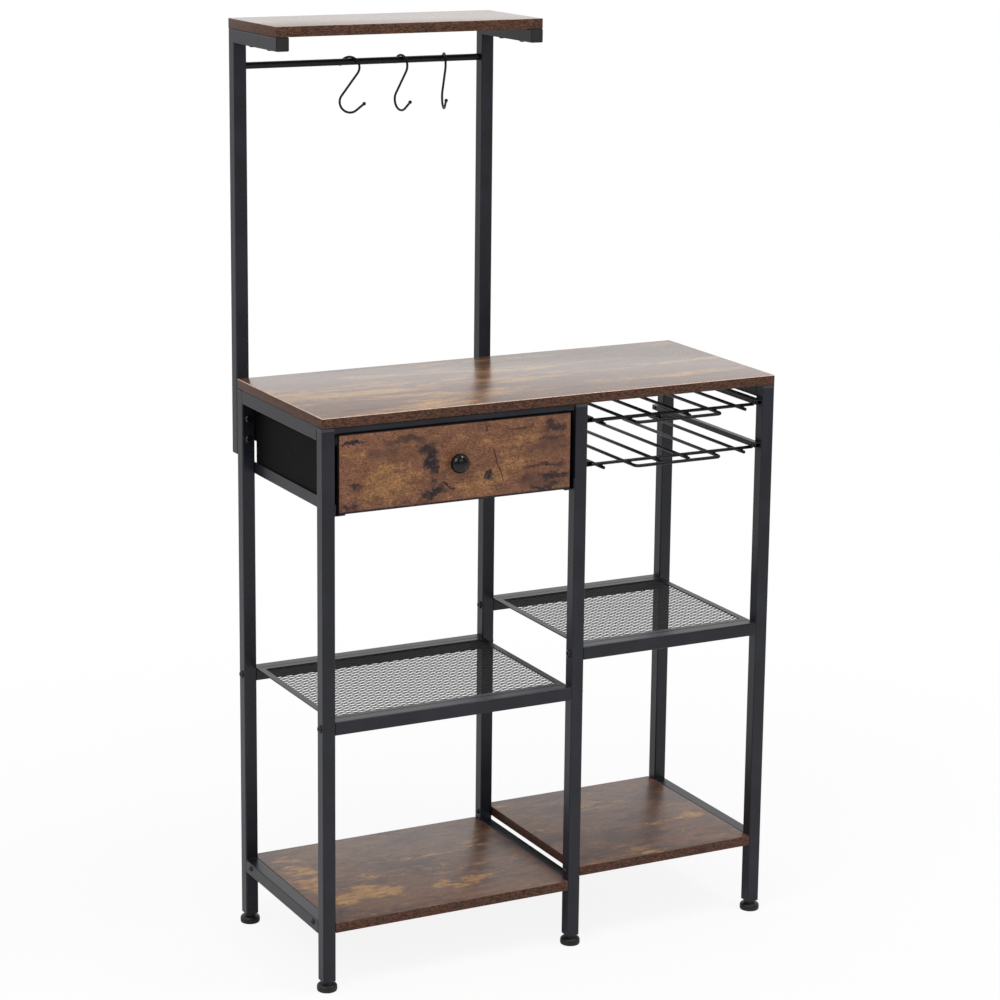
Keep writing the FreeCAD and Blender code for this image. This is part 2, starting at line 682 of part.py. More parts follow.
# Wire rack: side bars on the legs, cross wires under the bars and front-to-back wires under those
side_bars = []
for tier in ("upper", "lower"):
    height = tier + "_rack_height"
    for side, across in (("left", "right_bay_start"), ("right", "right_row - rack_bar")):
        side_bars.append(tube(f"{tier}_{side}_bar_tube",
                              (across, "front + rack_bar_inset", f"{height} - rack_bar_height / 2"),
                              ("rack_bar", "frame_depth - 2 * rack_bar_inset", "rack_bar_height"), "y",
                              "rack_bar_wall", "rack_bar_wall"))
        drilled = [rack_screws[tier, row, side] for row in rows]
        side_bars[-1] = cut(f"{tier}_{side}_bar", side_bars[-1], bores(drilled))
    wire = "rack_wire_radius"
    cross_height = f"{height} - rack_bar_height / 2 - {wire}"
    long_height = f"{cross_height} - 2 * {wire}"
    back_end = "back - finger_inset"
    cross_start, cross_length = "right_bay_start + cross_wire_end_gap", "right_bay - 2 * cross_wire_end_gap"
    wires = [bar(f"{tier}_{row}_cross_wire", (cross_start, across, cross_height), "+x", wire, cross_length)
             for row, across in (("front", "front + cross_wire_inset"), ("back", "back - cross_wire_inset"))]
    for finger, steps in enumerate((-2.5, -0.5, 0.5, 2.5)):
        wires.append(bar(f"{tier}_finger_{finger}",
                         (f"wires_middle + {steps} * wire_pitch", "front + finger_inset", long_height),
                         "+y", wire, "frame_depth - 2 * finger_inset"))
    loop_left, loop_right = "wires_middle - 1.5 * wire_pitch", "wires_middle + 1.5 * wire_pitch"
    loop_front, bend_row = "front + loop_inset", "front + loop_inset + loop_bend"
    loop_length = f"{back_end} - ({bend_row})"
    wires.append(join(tier + "_loop", [
        bar(tier + "_loop_left", (loop_left, bend_row, long_height), "+y", wire, loop_length),
        bar(tier + "_loop_right", (loop_right, bend_row, long_height), "+y", wire, loop_length),
        bar(tier + "_loop_front", (plus(loop_left, "loop_bend"), loop_front, long_height), "+x", wire,
            "3 * wire_pitch - 2 * loop_bend"),
        bend(tier + "_loop_left_bend", (plus(loop_left, "loop_bend"), bend_row, long_height),
             FreeCAD.Rotation(Z_AXIS, 180), "loop_bend", wire, "90"),
        bend(tier + "_loop_right_bend", (minus(loop_right, "loop_bend"), bend_row, long_height),
             FreeCAD.Rotation(Z_AXIS, -90), "loop_bend", wire, "90"),
    ]))
    finish(tier + "_rack_wires", group(tier + "_wires", wires))
finish("rack_side_bars", group("side_bars", side_bars))

# Drawer runners: angle strips on the inner faces of the legs, with a flange under each side of the drawer
runners = []
runner_start, runner_length = "front + runner_inset", "frame_depth - runner_inset"
for side, web, flange in (("left", "left_bay_start", "left_bay_start"),
                          ("right", "middle - runner_wall", "middle - runner_flange")):
    runners.append(join(side + "_runner", [
        block(side + "_runner_web", (web, runner_start, "runner_bottom"),
              ("runner_wall", runner_length, "runner_height")),
        block(side + "_runner_flange", (flange, runner_start, "runner_bottom"),
              ("runner_flange", runner_length, "runner_wall")),
    ]))
finish("drawer_runners", group("runners", runners))

# Drawer: dowelled box with a grooved-in floor, a front panel and a knob
dowel_heights = {"low": "box_bottom + dowel_inset", "high": "box_bottom + box_height - dowel_inset"}
dowels, dowel_bores = [], {"left": [], "right": []}
bore_radius, bore_length = "dowel_radius + fit_gap", "dowel_length + 2 * fit_gap"
for side, edge, inner, way, sign in (
        ("left", "box_left + box_wall - dowel_edge", "box_left + box_wall", "+x", "-"),
        ("right", "box_right - box_wall + dowel_edge", "box_right - box_wall", "-x", "+")):
    for level, height in dowel_heights.items():
        name = f"{side}_{level}_dowel"
        front_start = "panel_back - dowel_length / 2"
        back_start = f"{inner} {sign} dowel_length / 2"
        back_row = "box_back - box_wall / 2"
        dowels.append(bar(name + "_front", (edge, front_start, height), "+y", "dowel_radius", "dowel_length"))
        dowels.append(bar(name + "_back", (back_start, back_row, height), way, "dowel_radius", "dowel_length"))
        dowel_bores[side] += [
            bar(name + "_front_bore", (edge, minus(front_start, "fit_gap"), height), "+y",
                bore_radius, bore_length),
            bar(name + "_back_bore", (f"{back_start} {sign} fit_gap", back_row, height), way,
                bore_radius, bore_length)]
finish("drawer_dowels", group("dowels", dowels))

floor_gap = "box_wall - groove + groove_gap"
groove_bottom = "box_bottom + floor_lift - groove_gap"
for side, across, groove_start in (("left", "box_left", "box_left + box_wall - groove"),
                                   ("right", "box_right - box_wall", "box_right - box_wall")):
    plank = block(side + "_plank", (across, "panel_back", "box_bottom"),
                  ("box_wall", "box_length", "box_height"))
    slot = block(side + "_slot", (groove_start, "panel_back", groove_bottom),
                 ("groove", "box_length", "drawer_floor + 2 * groove_gap"))
    notch = block(side + "_notch", (across, "box_back", "box_bottom"),
                  ("box_wall", "tail_length", "box_height - tail_height"))
    finish(f"drawer_{side}_side", cut(side + "_plank_cut", plank, [slot, notch] + dowel_bores[side]))
end_plank = block("end_plank", ("box_left + box_wall", "box_back - box_wall", "box_bottom"),
                  ("box_inside", "box_wall", "box_height"))
finish("drawer_back", cut("end_plank_drilled", end_plank, dowel_bores["left"] + dowel_bores["right"]))
finish("drawer_bottom", block("floor_panel", (plus("box_left", floor_gap), "panel_back + groove_gap",
                                              "box_bottom + floor_lift"),
                              (f"box_width - 2 * ({floor_gap})",
                               "box_back - panel_back - box_wall - 2 * groove_gap", "drawer_floor")))

knob_screw = Screw("knob_screw_joined", ("knob_across", "panel_back", "knob_height"), "-y", "panel + knob_grip")
panel_board = block("panel_board", ("panel_left", "front", "panel_bottom"),
                    ("panel_width", "panel", "panel_height"))
panel_bores = dowel_bores["left"] + dowel_bores["right"] + [knob_screw.bore]
finish("drawer_front", cut("panel_drilled", panel_board, panel_bores))
head_start = "front - knob_neck_length"
knob_pieces = [
    bar("knob_neck", ("knob_across", "front", "knob_height"), "-y", "knob_neck_radius", "knob_neck_length"),
    cone("knob_back", ("knob_across", head_start, "knob_height"), "-y", "knob_radius - knob_edge",
         "knob_radius", "knob_edge"),
    bar("knob_rim", ("knob_across", minus(head_start, "knob_edge"), "knob_height"), "-y", "knob_radius",
        "knob_head_length - 2 * knob_edge"),
    cone("knob_face", ("knob_across", "front - knob_reach + knob_edge", "knob_height"), "-y", "knob_radius",
         "knob_radius - knob_edge", "knob_edge"),
]
finish("drawer_knob", cut("knob_bored", join("knob_turned", knob_pieces), [knob_screw.bore]))
finish("knob_screw", knob_screw.solid)

# Fasteners of one kind share a node
finish("hutch_bolts", group("bolts", solids(sum(hutch_bolts.values(), []))))
finish("shelf_screws", group("shelf_fixings", solids(sum(shelf_screws.values(), []))))
finish("rack_screws", group("rack_fixings", solids(rack_screws.values())))
all_board_screws = list(board_screws.values()) + list(top_screws.values()) + list(arm_screws.values())
finish("board_screws", group("board_fixings", solids(sum(all_board_screws, []))))

doc.recompute()
for thing in doc.Objects:
    if "Invalid" in thing.State or "Error" in thing.State:
        raise RuntimeError(f"{thing.Label} failed: {thing.State}")
for thing in finished:
    if thing.Shape.isNull() or not thing.Shape.isValid():
        raise RuntimeError(thing.Label + " has no valid shape")

os.makedirs("parts", exist_ok=True)
for thing in finished:
    thing.Shape.exportStep(f"parts/{thing.Label}.step")
print(len(finished), "nodes,", sum(len(thing.Shape.Solids) for thing in finished), "solids")
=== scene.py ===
# %% [markdown]
# # A coffee station of black steel tube and rustic board
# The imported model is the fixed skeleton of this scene: every tube, board and wire already stands in its place.
# The lesson dresses that skeleton. Tubes keep their solid and get a better finish, while boards, wires, hooks, mesh,
# feet, knob and screws are modelled again with the roundings and textures that a plain solid leaves out.

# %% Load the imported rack
import json
import math

import bmesh
import bpy
from mathutils import Matrix, Vector

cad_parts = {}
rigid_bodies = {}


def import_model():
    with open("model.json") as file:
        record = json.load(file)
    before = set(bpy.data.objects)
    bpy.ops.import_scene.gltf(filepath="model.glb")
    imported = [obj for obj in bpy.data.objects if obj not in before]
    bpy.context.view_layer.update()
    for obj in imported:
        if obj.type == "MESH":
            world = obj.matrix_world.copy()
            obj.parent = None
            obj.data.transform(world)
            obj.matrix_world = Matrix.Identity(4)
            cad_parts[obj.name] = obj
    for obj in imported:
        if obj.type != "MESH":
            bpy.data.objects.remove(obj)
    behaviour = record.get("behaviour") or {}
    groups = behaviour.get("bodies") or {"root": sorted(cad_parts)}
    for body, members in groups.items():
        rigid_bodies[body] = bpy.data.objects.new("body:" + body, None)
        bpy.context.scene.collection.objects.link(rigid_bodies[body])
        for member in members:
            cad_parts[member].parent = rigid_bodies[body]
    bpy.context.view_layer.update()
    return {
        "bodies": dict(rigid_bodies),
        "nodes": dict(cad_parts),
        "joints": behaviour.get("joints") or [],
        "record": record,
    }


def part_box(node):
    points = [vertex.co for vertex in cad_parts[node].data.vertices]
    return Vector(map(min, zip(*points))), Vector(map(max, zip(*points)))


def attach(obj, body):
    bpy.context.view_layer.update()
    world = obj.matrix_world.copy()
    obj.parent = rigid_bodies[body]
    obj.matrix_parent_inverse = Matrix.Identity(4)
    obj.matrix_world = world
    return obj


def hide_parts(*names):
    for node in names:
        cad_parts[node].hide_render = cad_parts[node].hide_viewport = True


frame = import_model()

MM = 0.001

# %% [markdown]
# ## Colours as a screen shows them
# Colours in this lesson are written as the three values from 0 to 255 that one reads on a screen. Blender mixes
# linear light, so each colour is turned into that first. Without this step the dark coats would come out far too pale.

# %% Screen colours
def screen_colour(red, green, blue):
    """A colour given as 0 to 255 on screen, as linear light."""
    channels = [value / 255 for value in (red, green, blue)]
    linear = [c / 12.92 if c <= 0.04045 else ((c + 0.055) / 1.055) ** 2.4 for c in channels]
    return (*linear, 1.0)


print("a mid brown in linear light:", *(round(value, 3) for value in screen_colour(106, 74, 55)[:3]))

# %% [markdown]
# ## Small helpers for shader nodes
# A finish is a graph of nodes. Writing each node on one line keeps the graph readable: the helper makes the node,
# sets its options, and fills each input either with a plain value or with a link from another node.

# %% Node helpers
def node(tree, kind, inputs=None, **options):
    """A shader node with its options set and its inputs filled or linked."""
    made = tree.nodes.new("ShaderNode" + kind)
    for option, value in options.items():
        setattr(made, option, value)
    for key, value in (inputs or {}).items():
        if isinstance(value, bpy.types.NodeSocket):
            tree.links.new(value, made.inputs[key])
        else:
            made.inputs[key].default_value = value
    return made


def math_node(tree, operation, first, second=0.0):
    return node(tree, "Math", {0: first, 1: second}, operation=operation).outputs[0]


def vector_node(tree, operation, first, second=(0, 0, 0)):
    """Arithmetic on two vectors: both outputs, Vector and Value."""
    return node(tree, "VectorMath", {0: first, 1: second}, operation=operation).outputs


def ramp(tree, value, low, high, bottom=0.0, top=1.0):
    """Soft step of a value from low to high."""
    limits = {"Value": value, "From Min": low, "From Max": high, "To Min": bottom, "To Max": top}
    return node(tree, "MapRange", limits, interpolation_type="SMOOTHSTEP").outputs["Result"]


def blend_colours(tree, share, first, second):
    return node(tree, "Mix", {0: share, 6: first, 7: second}, data_type="RGBA").outputs[2]


def stretched_noise(tree, vector, scale, stretch=(1, 1, 1), detail=3.0, roughness=0.55, distortion=0.0,
                    shift=(0, 0, 0)):
    """Noise that is squeezed by a factor along each axis, so that it runs along the axis with the smallest one."""
    mapped = node(tree, "Mapping", {"Vector": vector, "Scale": stretch, "Location": shift})
    settings = {"Vector": mapped.outputs[0], "Scale": scale, "Detail": detail, "Roughness": roughness,
                "Distortion": distortion}
    return node(tree, "TexNoise", settings).outputs["Fac"]


print("node helpers ready")

# %% [markdown]
# ## Groups and materials
# An effect that several finishes share is built once as a node group with named sockets, and placed in each material
# with that material's own values. All materials read Object coordinates, so a pattern is fixed to its piece and moves
# with it when the drawer slides or a hook swings.

# %% Group and material helpers
def shader_group(name, inputs, outputs):
    """An empty node group with named sockets: its tree, its input sockets and its output node."""
    tree = bpy.data.node_groups.new(name, "ShaderNodeTree")
    for direction, sockets in (("INPUT", inputs), ("OUTPUT", outputs)):
        for socket_name, kind in sockets.items():
            tree.interface.new_socket(socket_name, in_out=direction, socket_type="NodeSocket" + kind)
    return tree, tree.nodes.new("NodeGroupInput").outputs, tree.nodes.new("NodeGroupOutput")


def use_group(tree, group, inputs):
    return node(tree, "Group", inputs, node_tree=group).outputs


def start_material(name):
    """An empty material: its tree, its surface shader and the object coordinates."""
    material = bpy.data.materials.new(name)
    material.use_nodes = True
    tree = material.node_tree
    return material, tree, tree.nodes["Principled BSDF"], node(tree, "TexCoord").outputs["Object"]


def cover(tree, surface, colour, roughness, shine):
    """Link a colour and a roughness to the surface, and set how strongly it mirrors."""
    tree.links.new(colour, surface.inputs["Base Color"])
    tree.links.new(roughness, surface.inputs["Roughness"])
    surface.inputs["Specular IOR Level"].default_value = shine


def add_clear_layer(surface, weight, roughness):
    surface.inputs["Coat Weight"].default_value = weight
    surface.inputs["Coat Roughness"].default_value = roughness


def add_bump(tree, surface, height, strength, depth):
    bump = node(tree, "Bump", {"Height": height, "Strength": strength, "Distance": depth})
    tree.links.new(bump.outputs[0], surface.inputs["Normal"])


print("group and material helpers ready")

# %% [markdown]
# ## Powder coat
# The steel is sprayed with dry paint powder and baked. That leaves a satin skin with a very fine orange peel, and a
# tone that drifts slightly along a tube. Two noises do it: one of about half a millimetre for the peel, one of a few
# centimetres for the drift. Tubes, wires, screws and plastic share the group with their own values.

# %% Group: powder coat
DRIFT_SCALE, ROUGHNESS_SPREAD = 18.0, 0.16
powder_coat, coat_in, coat_out = shader_group(
    "powder coat", {"Place": "Vector", "Peel Scale": "Float", "Base Roughness": "Float"},
    {"Tone": "Float", "Roughness": "Float", "Height": "Float"})
tree = powder_coat
drift = stretched_noise(tree, coat_in["Place"], DRIFT_SCALE)
peel = node(tree, "TexNoise", {"Vector": coat_in["Place"], "Scale": coat_in["Peel Scale"], "Detail": 2.0})
spread = math_node(tree, "MULTIPLY", math_node(tree, "SUBTRACT", drift, 0.5), ROUGHNESS_SPREAD)
tree.links.new(ramp(tree, drift, 0.3, 0.7), coat_out.inputs["Tone"])
tree.links.new(math_node(tree, "ADD", coat_in["Base Roughness"], spread), coat_out.inputs["Roughness"])
tree.links.new(peel.outputs["Fac"], coat_out.inputs["Height"])
print("powder coat group:", len(tree.nodes), "nodes")

# %% Finishes: coated steel, plastic and lacquer
PEEL_STRENGTH, SKIN_ROUGHNESS = 0.35, 0.3


def coated(name, dark, light, roughness, peel_scale, peel_depth, shine, skin=0.0):
    """A powder-coated or lacquered finish that drifts between two tones."""
    material, tree, surface, place = start_material(name)
    coat = use_group(tree, powder_coat, {"Place": place, "Peel Scale": peel_scale, "Base Roughness": roughness})
    colour = blend_colours(tree, coat["Tone"], screen_colour(*dark), screen_colour(*light))
    cover(tree, surface, colour, coat["Roughness"], shine)
    add_clear_layer(surface, skin, SKIN_ROUGHNESS)
    add_bump(tree, surface, coat["Height"], PEEL_STRENGTH, peel_depth)
    print("finish:", name)
    return material


tube_coat = coated("black_powder_coat", dark=(16, 17, 24), light=(25, 26, 36), roughness=0.36, peel_scale=1400.0,
                   peel_depth=0.12 * MM, shine=0.3, skin=0.15)
wire_coat = coated("black_wire_coat", dark=(9, 9, 11), light=(15, 15, 17), roughness=0.36, peel_scale=1800.0,
                   peel_depth=0.08 * MM, shine=0.3)
mesh_coat = coated("black_mesh_coat", dark=(10, 10, 12), light=(16, 16, 18), roughness=0.45, peel_scale=1800.0,
                   peel_depth=0.06 * MM, shine=0.2)
screw_black = coated("black_screw_coat", dark=(10, 9, 9), light=(18, 16, 15), roughness=0.3, peel_scale=2400.0,
                     peel_depth=0.04 * MM, shine=0.45)
foot_plastic = coated("black_foot_plastic", dark=(17, 17, 18), light=(27, 27, 29), roughness=0.48, peel_scale=900.0,
                      peel_depth=0.15 * MM, shine=0.4)
# Grey of the leg caps: partly the plastic's own colour, partly a painted highlight along the leg tops.
cap_plastic_and_highlight = coated("grey_cap_and_painted_highlight", dark=(42, 45, 54), light=(52, 55, 64), roughness=0.45, peel_scale=900.0,
                     peel_depth=0.1 * MM, shine=0.4)
knob_lacquer = coated("black_knob_lacquer", dark=(6, 6, 7), light=(9, 9, 10), roughness=0.09, peel_scale=300.0,
                      peel_depth=0.01 * MM, shine=0.35)

# %% [markdown]
# ## Rustic board
# The boards are chipboard under a printed, lightly embossed film. The print shows worn timber: warm orange patches,
# deep brown ones, fine grain along the board, dark smudges as from soot, and short pores.
# Each of these is a noise stretched along the grain. Soft steps pick the share of a layer, and layers are mixed in the
# order in which the print was built: ground, patches, grain, smudges, pores.

# %% Group: rustic board, the noises
board_sockets = {"Place": "Vector", "Warm": "Color", "Ground": "Color", "Deep": "Color", "Soot": "Color",
                 "Patch Size": "Float", "Warm Share": "Float", "Deep Share": "Float", "Soot Share": "Float",
                 "Placed Soot": "Float", "Base Roughness": "Float", "Stretch": "Vector", "Mottling": "Float",
                 "Grain": "Float", "Placed Warm": "Float"}
rustic_board, board_in, board_out = shader_group(
    "rustic board", board_sockets, {"Colour": "Color", "Roughness": "Float", "Height": "Float"})
tree, along = rustic_board, board_in["Place"]
drawn = node(tree, "Mapping", {"Vector": along, "Scale": board_in["Stretch"]}).outputs[0]
patches = stretched_noise(tree, drawn, board_in["Patch Size"], detail=5.0, roughness=0.58, distortion=0.5)
shades = stretched_noise(tree, drawn, 7.0, detail=6.0, roughness=0.62, distortion=0.4, shift=(3.1, 1.7, 0.4))
mottle = stretched_noise(tree, drawn, 42.0, detail=5.0, roughness=0.72, distortion=0.3, shift=(5.5, 0.3, 2.4))
flecks = stretched_noise(tree, drawn, 260.0, detail=4.0, roughness=0.75, distortion=0.8, shift=(2.5, 4.3, 1.4))
smoke = stretched_noise(tree, drawn, 13.0, detail=8.0, roughness=0.68, distortion=0.8, shift=(8.3, 2.2, 1.9))
crumbs = stretched_noise(tree, along, 160.0, (1.0, 1.3, 1.3), detail=4.0, roughness=0.7, distortion=0.4)
grain = stretched_noise(tree, along, 9.0, (1.0, 24.0, 24.0), detail=6.0, roughness=0.62)
fine_grain = stretched_noise(tree, along, 42.0, (1.0, 22.0, 22.0), detail=4.0, roughness=0.6, shift=(0.7, 0.2, 5.0))
pores = stretched_noise(tree, along, 120.0, (1.0, 9.0, 9.0), detail=2.0, roughness=0.5, shift=(1.0, 6.0, 2.0))
print("rustic board: nine noises")

# %% Group: rustic board, the masks
RAGGEDNESS, WARM_PULL, SPECK_SPREAD = 0.4, 0.16, 1.3


def share_mask(layer, share, top, softness):
    """The highest values of a layer, as many as the share asks for, with a soft rim."""
    limit = math_node(tree, "SUBTRACT", top, math_node(tree, "MULTIPLY", board_in[share], 0.5))
    return ramp(tree, layer, limit, math_node(tree, "ADD", limit, softness))


ragged = math_node(tree, "MULTIPLY", math_node(tree, "SUBTRACT", mottle, 0.5), RAGGEDNESS)
pull = math_node(tree, "MULTIPLY", board_in["Placed Warm"], WARM_PULL)
patches = math_node(tree, "ADD", math_node(tree, "ADD", patches, ragged), pull)
shades = math_node(tree, "SUBTRACT", math_node(tree, "ADD", shades, math_node(tree, "MULTIPLY", ragged, -0.8)), pull)
warm_mask = share_mask(patches, "Warm Share", 0.76, 0.16)
deep_mask = share_mask(shades, "Deep Share", 0.76, 0.2)
specks = math_node(tree, "MULTIPLY", math_node(tree, "SUBTRACT", flecks, 0.5), SPECK_SPREAD)
specks = ramp(tree, math_node(tree, "ADD", board_in["Placed Soot"], specks), 0.2, 1.0)
soot_mask = math_node(tree, "MAXIMUM", share_mask(smoke, "Soot Share", 0.8, 0.12), specks)
soot_mask = math_node(tree, "MULTIPLY", soot_mask, ramp(tree, crumbs, 0.25, 0.55, 0.45, 1.0))
pore_mask = ramp(tree, pores, 0.64, 0.74, 0.0, 0.45)
print("rustic board: masks for warm, deep, soot and pores")

# %% Group: rustic board, colour and relief
tone = math_node(tree, "ADD", ramp(tree, grain, 0.25, 0.75, -0.2, 0.2),
                 ramp(tree, fine_grain, 0.3, 0.7, -0.18, 0.18))
tone = math_node(tree, "ADD", math_node(tree, "MULTIPLY", tone, board_in["Grain"]), 1.0)
tone = math_node(tree, "MULTIPLY", tone, ramp(tree, mottle, 0.25, 0.75, 0.74, 1.26))
speckle = math_node(tree, "MULTIPLY", ramp(tree, flecks, 0.32, 0.68, -0.7, 0.6), board_in["Mottling"])
tone = math_node(tree, "MULTIPLY", tone, math_node(tree, "ADD", speckle, 1.0))
colour = blend_colours(tree, warm_mask, board_in["Ground"], board_in["Warm"])
colour = blend_colours(tree, deep_mask, colour, board_in["Deep"])
colour = node(tree, "Mix", {0: 1.0, 6: colour, 7: tone}, data_type="RGBA", blend_type="MULTIPLY").outputs[2]
colour = blend_colours(tree, soot_mask, colour, board_in["Soot"])
colour = blend_colours(tree, pore_mask, colour, board_in["Soot"])
rough = math_node(tree, "ADD", board_in["Base Roughness"], ramp(tree, fine_grain, 0.3, 0.7, -0.03, 0.05))
relief = math_node(tree, "SUBTRACT", math_node(tree, "MULTIPLY", fine_grain, 0.6), pore_mask)
for socket_name, result in (("Colour", colour), ("Roughness", rough), ("Height", relief)):
    tree.links.new(result, board_out.inputs[socket_name])
print("rustic board group:", len(tree.nodes), "nodes")

# %% [markdown]
# ## Spots with a place
# Some spots of the print are easy to recognise, such as the yellow patches at the front of a board or the smudges on
# the drawer. Each is a soft oval whose rim is broken up by noise, made by a small group that is placed once per spot.

# %% Group: placed smudge
WANDER_SCALE, WANDER_REACH = 38.0, 45 * MM
placed_smudge, smudge_in, smudge_out = shader_group(
    "placed smudge", {"Place": "Vector", "Centre": "Vector", "Reach": "Vector", "Strength": "Float"},
    {"Mask": "Float"})
tree, place = placed_smudge, smudge_in["Place"]
wander = node(tree, "TexNoise", {"Vector": place, "Scale": WANDER_SCALE, "Detail": 5.0, "Roughness": 0.65})
offset = vector_node(tree, "SUBTRACT", wander.outputs["Color"], (0.5, 0.5, 0.5))[0]
offset = vector_node(tree, "MULTIPLY", offset, (WANDER_REACH,) * 3)[0]
from_centre = vector_node(tree, "SUBTRACT", vector_node(tree, "ADD", place, offset)[0], smudge_in["Centre"])[0]
distance = vector_node(tree, "LENGTH", vector_node(tree, "DIVIDE", from_centre, smudge_in["Reach"])[0])["Value"]
oval = math_node(tree, "MULTIPLY", ramp(tree, distance, 1.4, 0.45), smudge_in["Strength"])
tree.links.new(oval, smudge_out.inputs["Mask"])
print("placed smudge group:", len(tree.nodes), "nodes")

# %% Spots on a board
THROUGH = 1.0


def spot_mask(tree, place, node_name, upright, spots):
    """Soft spots on a board as one mask: millimetres from its left and its lower or front edge, and half sizes."""
    corner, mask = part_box(node_name)[0], 0.0
    for left, other, half_wide, half_high, strength in spots.values():
        step, reach = (left * MM, 0, other * MM), (half_wide * MM, THROUGH, half_high * MM)
        if not upright:
            step, reach = (left * MM, other * MM, 0), (half_wide * MM, half_high * MM, THROUGH)
        spot = use_group(tree, placed_smudge, {"Place": place, "Centre": corner + Vector(step), "Reach": reach,
                                               "Strength": strength})["Mask"]
        mask = math_node(tree, "MAXIMUM", mask, spot)
    return mask


def spots_on(node_name, spots, upright=False):
    """The spots of one board, to be placed once its material is there."""
    return lambda tree, place: spot_mask(tree, place, node_name, upright, spots)


print("spots are given in millimetres from a board's corner")

# %% [markdown]
# ## Film on the boards
# All boards are cut from one long sheet of film, so each shows another stretch of the same print: a shift moves the
# pattern, and the shares, the gloss and the clear lacquer are the board's own. A single material with one noise would
# be less work, but then every board would look the same.

# %% Film helper
FILM_STRENGTH, FILM_DEPTH, LACQUER_ROUGHNESS = 0.25, 0.12 * MM, 0.24
film_colours = {"Warm": screen_colour(162, 118, 68), "Ground": screen_colour(106, 74, 55),
                "Deep": screen_colour(76, 54, 47), "Soot": screen_colour(38, 33, 36)}


def board_film(name, shift, patch_size, warm, deep, soot, roughness, lacquer, soot_spots=None, warm_spots=None,
               stretch=(1.0, 4.5, 4.5), shine=0.5, mottling=0.35, grain=1.0, **colours):
    """Printed film for one board. Colours given by name take the place of the common ones."""
    material, tree, surface, place = start_material(name)
    moved = node(tree, "Mapping", {"Vector": place, "Location": shift}).outputs[0]
    values = {"Place": moved, "Stretch": stretch, "Patch Size": patch_size, "Warm Share": warm, "Deep Share": deep,
              "Soot Share": soot, "Base Roughness": roughness, "Mottling": mottling, "Grain": grain,
              "Placed Soot": soot_spots(tree, place) if soot_spots else 0.0,
              "Placed Warm": warm_spots(tree, place) if warm_spots else 0.0}
    film = use_group(tree, rustic_board, {**values, **film_colours, **colours})
    cover(tree, surface, film["Colour"], film["Roughness"], shine)
    add_clear_layer(surface, lacquer, LACQUER_ROUGHNESS)
    add_bump(tree, surface, film["Height"], FILM_STRENGTH, FILM_DEPTH)
    print("finish:", name)
    return material


# %% Finishes: worktop, top shelf and low boards
# Warm patches: millimetres from the left and the front edge, half width, half depth, strength
worktop_warm = {"front left": (110, 170, 120, 80, 0.8), "front streak": (270, 70, 140, 30, 0.7),
                "right streak": (560, 150, 120, 26, 0.5)}
left_warm = {"front left": (85, 75, 62, 46, 0.9), "left edge": (32, 200, 28, 80, 0.85),
             "front": (195, 58, 60, 24, 0.85), "middle": (150, 150, 62, 20, 0.6),
             "front right": (270, 80, 40, 14, 0.5)}
right_warm = {"right": (240, 120, 55, 70, 0.95), "back": (150, 235, 70, 40, 0.75),
              "front": (225, 40, 50, 22, 0.6)}
worktop_film = board_film("worktop_film", shift=(0.35, 0.1, 0.0), patch_size=5.0, warm=0.46, deep=0.5, soot=0.25,
                          roughness=0.27, lacquer=0.5, warm_spots=spots_on("worktop", worktop_warm),
                          stretch=(1.0, 6.0, 6.0))
shelf_film = board_film("top_shelf_film", shift=(1.3, 0.4, 0.2), patch_size=5.0, warm=0.5, deep=0.5, soot=0.2,
                        roughness=0.26, lacquer=0.7)
low_board_print = {"patch_size": 8.0, "soot": 0.24, "roughness": 0.36, "shine": 0.45, "stretch": (1.0, 2.2, 2.2),
                   "mottling": 0.5}
left_film = board_film("left_board_film", shift=(2.15, 0.9, 0.3), warm=0.36, deep=0.62, lacquer=0.05,
                       warm_spots=spots_on("left_bottom_board", left_warm), **low_board_print)
right_film = board_film("right_board_film", shift=(3.4, 0.6, 0.9), warm=0.34, deep=0.7, lacquer=0.0,
                        warm_spots=spots_on("right_bottom_board", right_warm), **low_board_print)

# %% [markdown]
# ## Drawer front
# The drawer front is the piece of film that the eye goes to: it faces the viewer without a reflection. Its smudges
# have places of their own, to the left of the knob and in the corners, with one long scratch on the right and a dark
# line along the lower edge.

# %% Smudges of the drawer front
# Millimetres from the left and the lower edge, half width, half height, strength
drawer_smudges = {
    "beside the knob, upper": (137, 82, 17, 12, 0.85),
    "beside the knob, middle": (146, 66, 14, 16, 1.0),
    "beside the knob, lower": (152, 50, 8, 12, 1.0),
    "tail of the blob": (147, 32, 6, 12, 0.7),
    "above the knob's left": (105, 98, 42, 8, 0.7),
    "left of the middle": (72, 84, 34, 10, 0.5),
    "below it": (100, 70, 26, 9, 0.4),
    "upper left dash": (20, 101, 24, 2.5, 1.0),
    "left mark": (22, 37, 12, 5, 0.85),
    "lower left corner": (16, 8, 20, 9, 0.75),
    "lower middle": (150, 17, 22, 7, 0.95),
    "lower middle dash": (168, 25, 14, 2.5, 0.9),
    "low speckle": (125, 8, 30, 5, 0.6),
    "right of the knob": (236, 38, 5, 12, 1.0),
    "beside it": (231, 32, 3, 7, 0.9),
    "upper dash": (234, 103, 3, 6, 0.9),
    "upper right corner": (346, 96, 26, 7, 0.8),
    "upper right streak": (338, 82, 30, 4, 0.7),
    "right rim": (358, 66, 16, 5, 0.6),
    "upper right dash": (285, 97, 26, 2.5, 0.7),
    "right streaks": (326, 40, 40, 4, 0.75),
    "lower right": (344, 23, 30, 5, 0.9),
    "lower right streak": (330, 11, 36, 4, 0.85),
    "lower right patch": (296, 24, 18, 5, 0.6),
    "vertical strokes": (243, 34, 2.5, 9, 0.8),
    "right speckle": (335, 72, 45, 26, 0.46),
    "lower right speckle": (325, 18, 46, 13, 0.55),
    "upper speckle": (120, 95, 60, 14, 0.4),
}
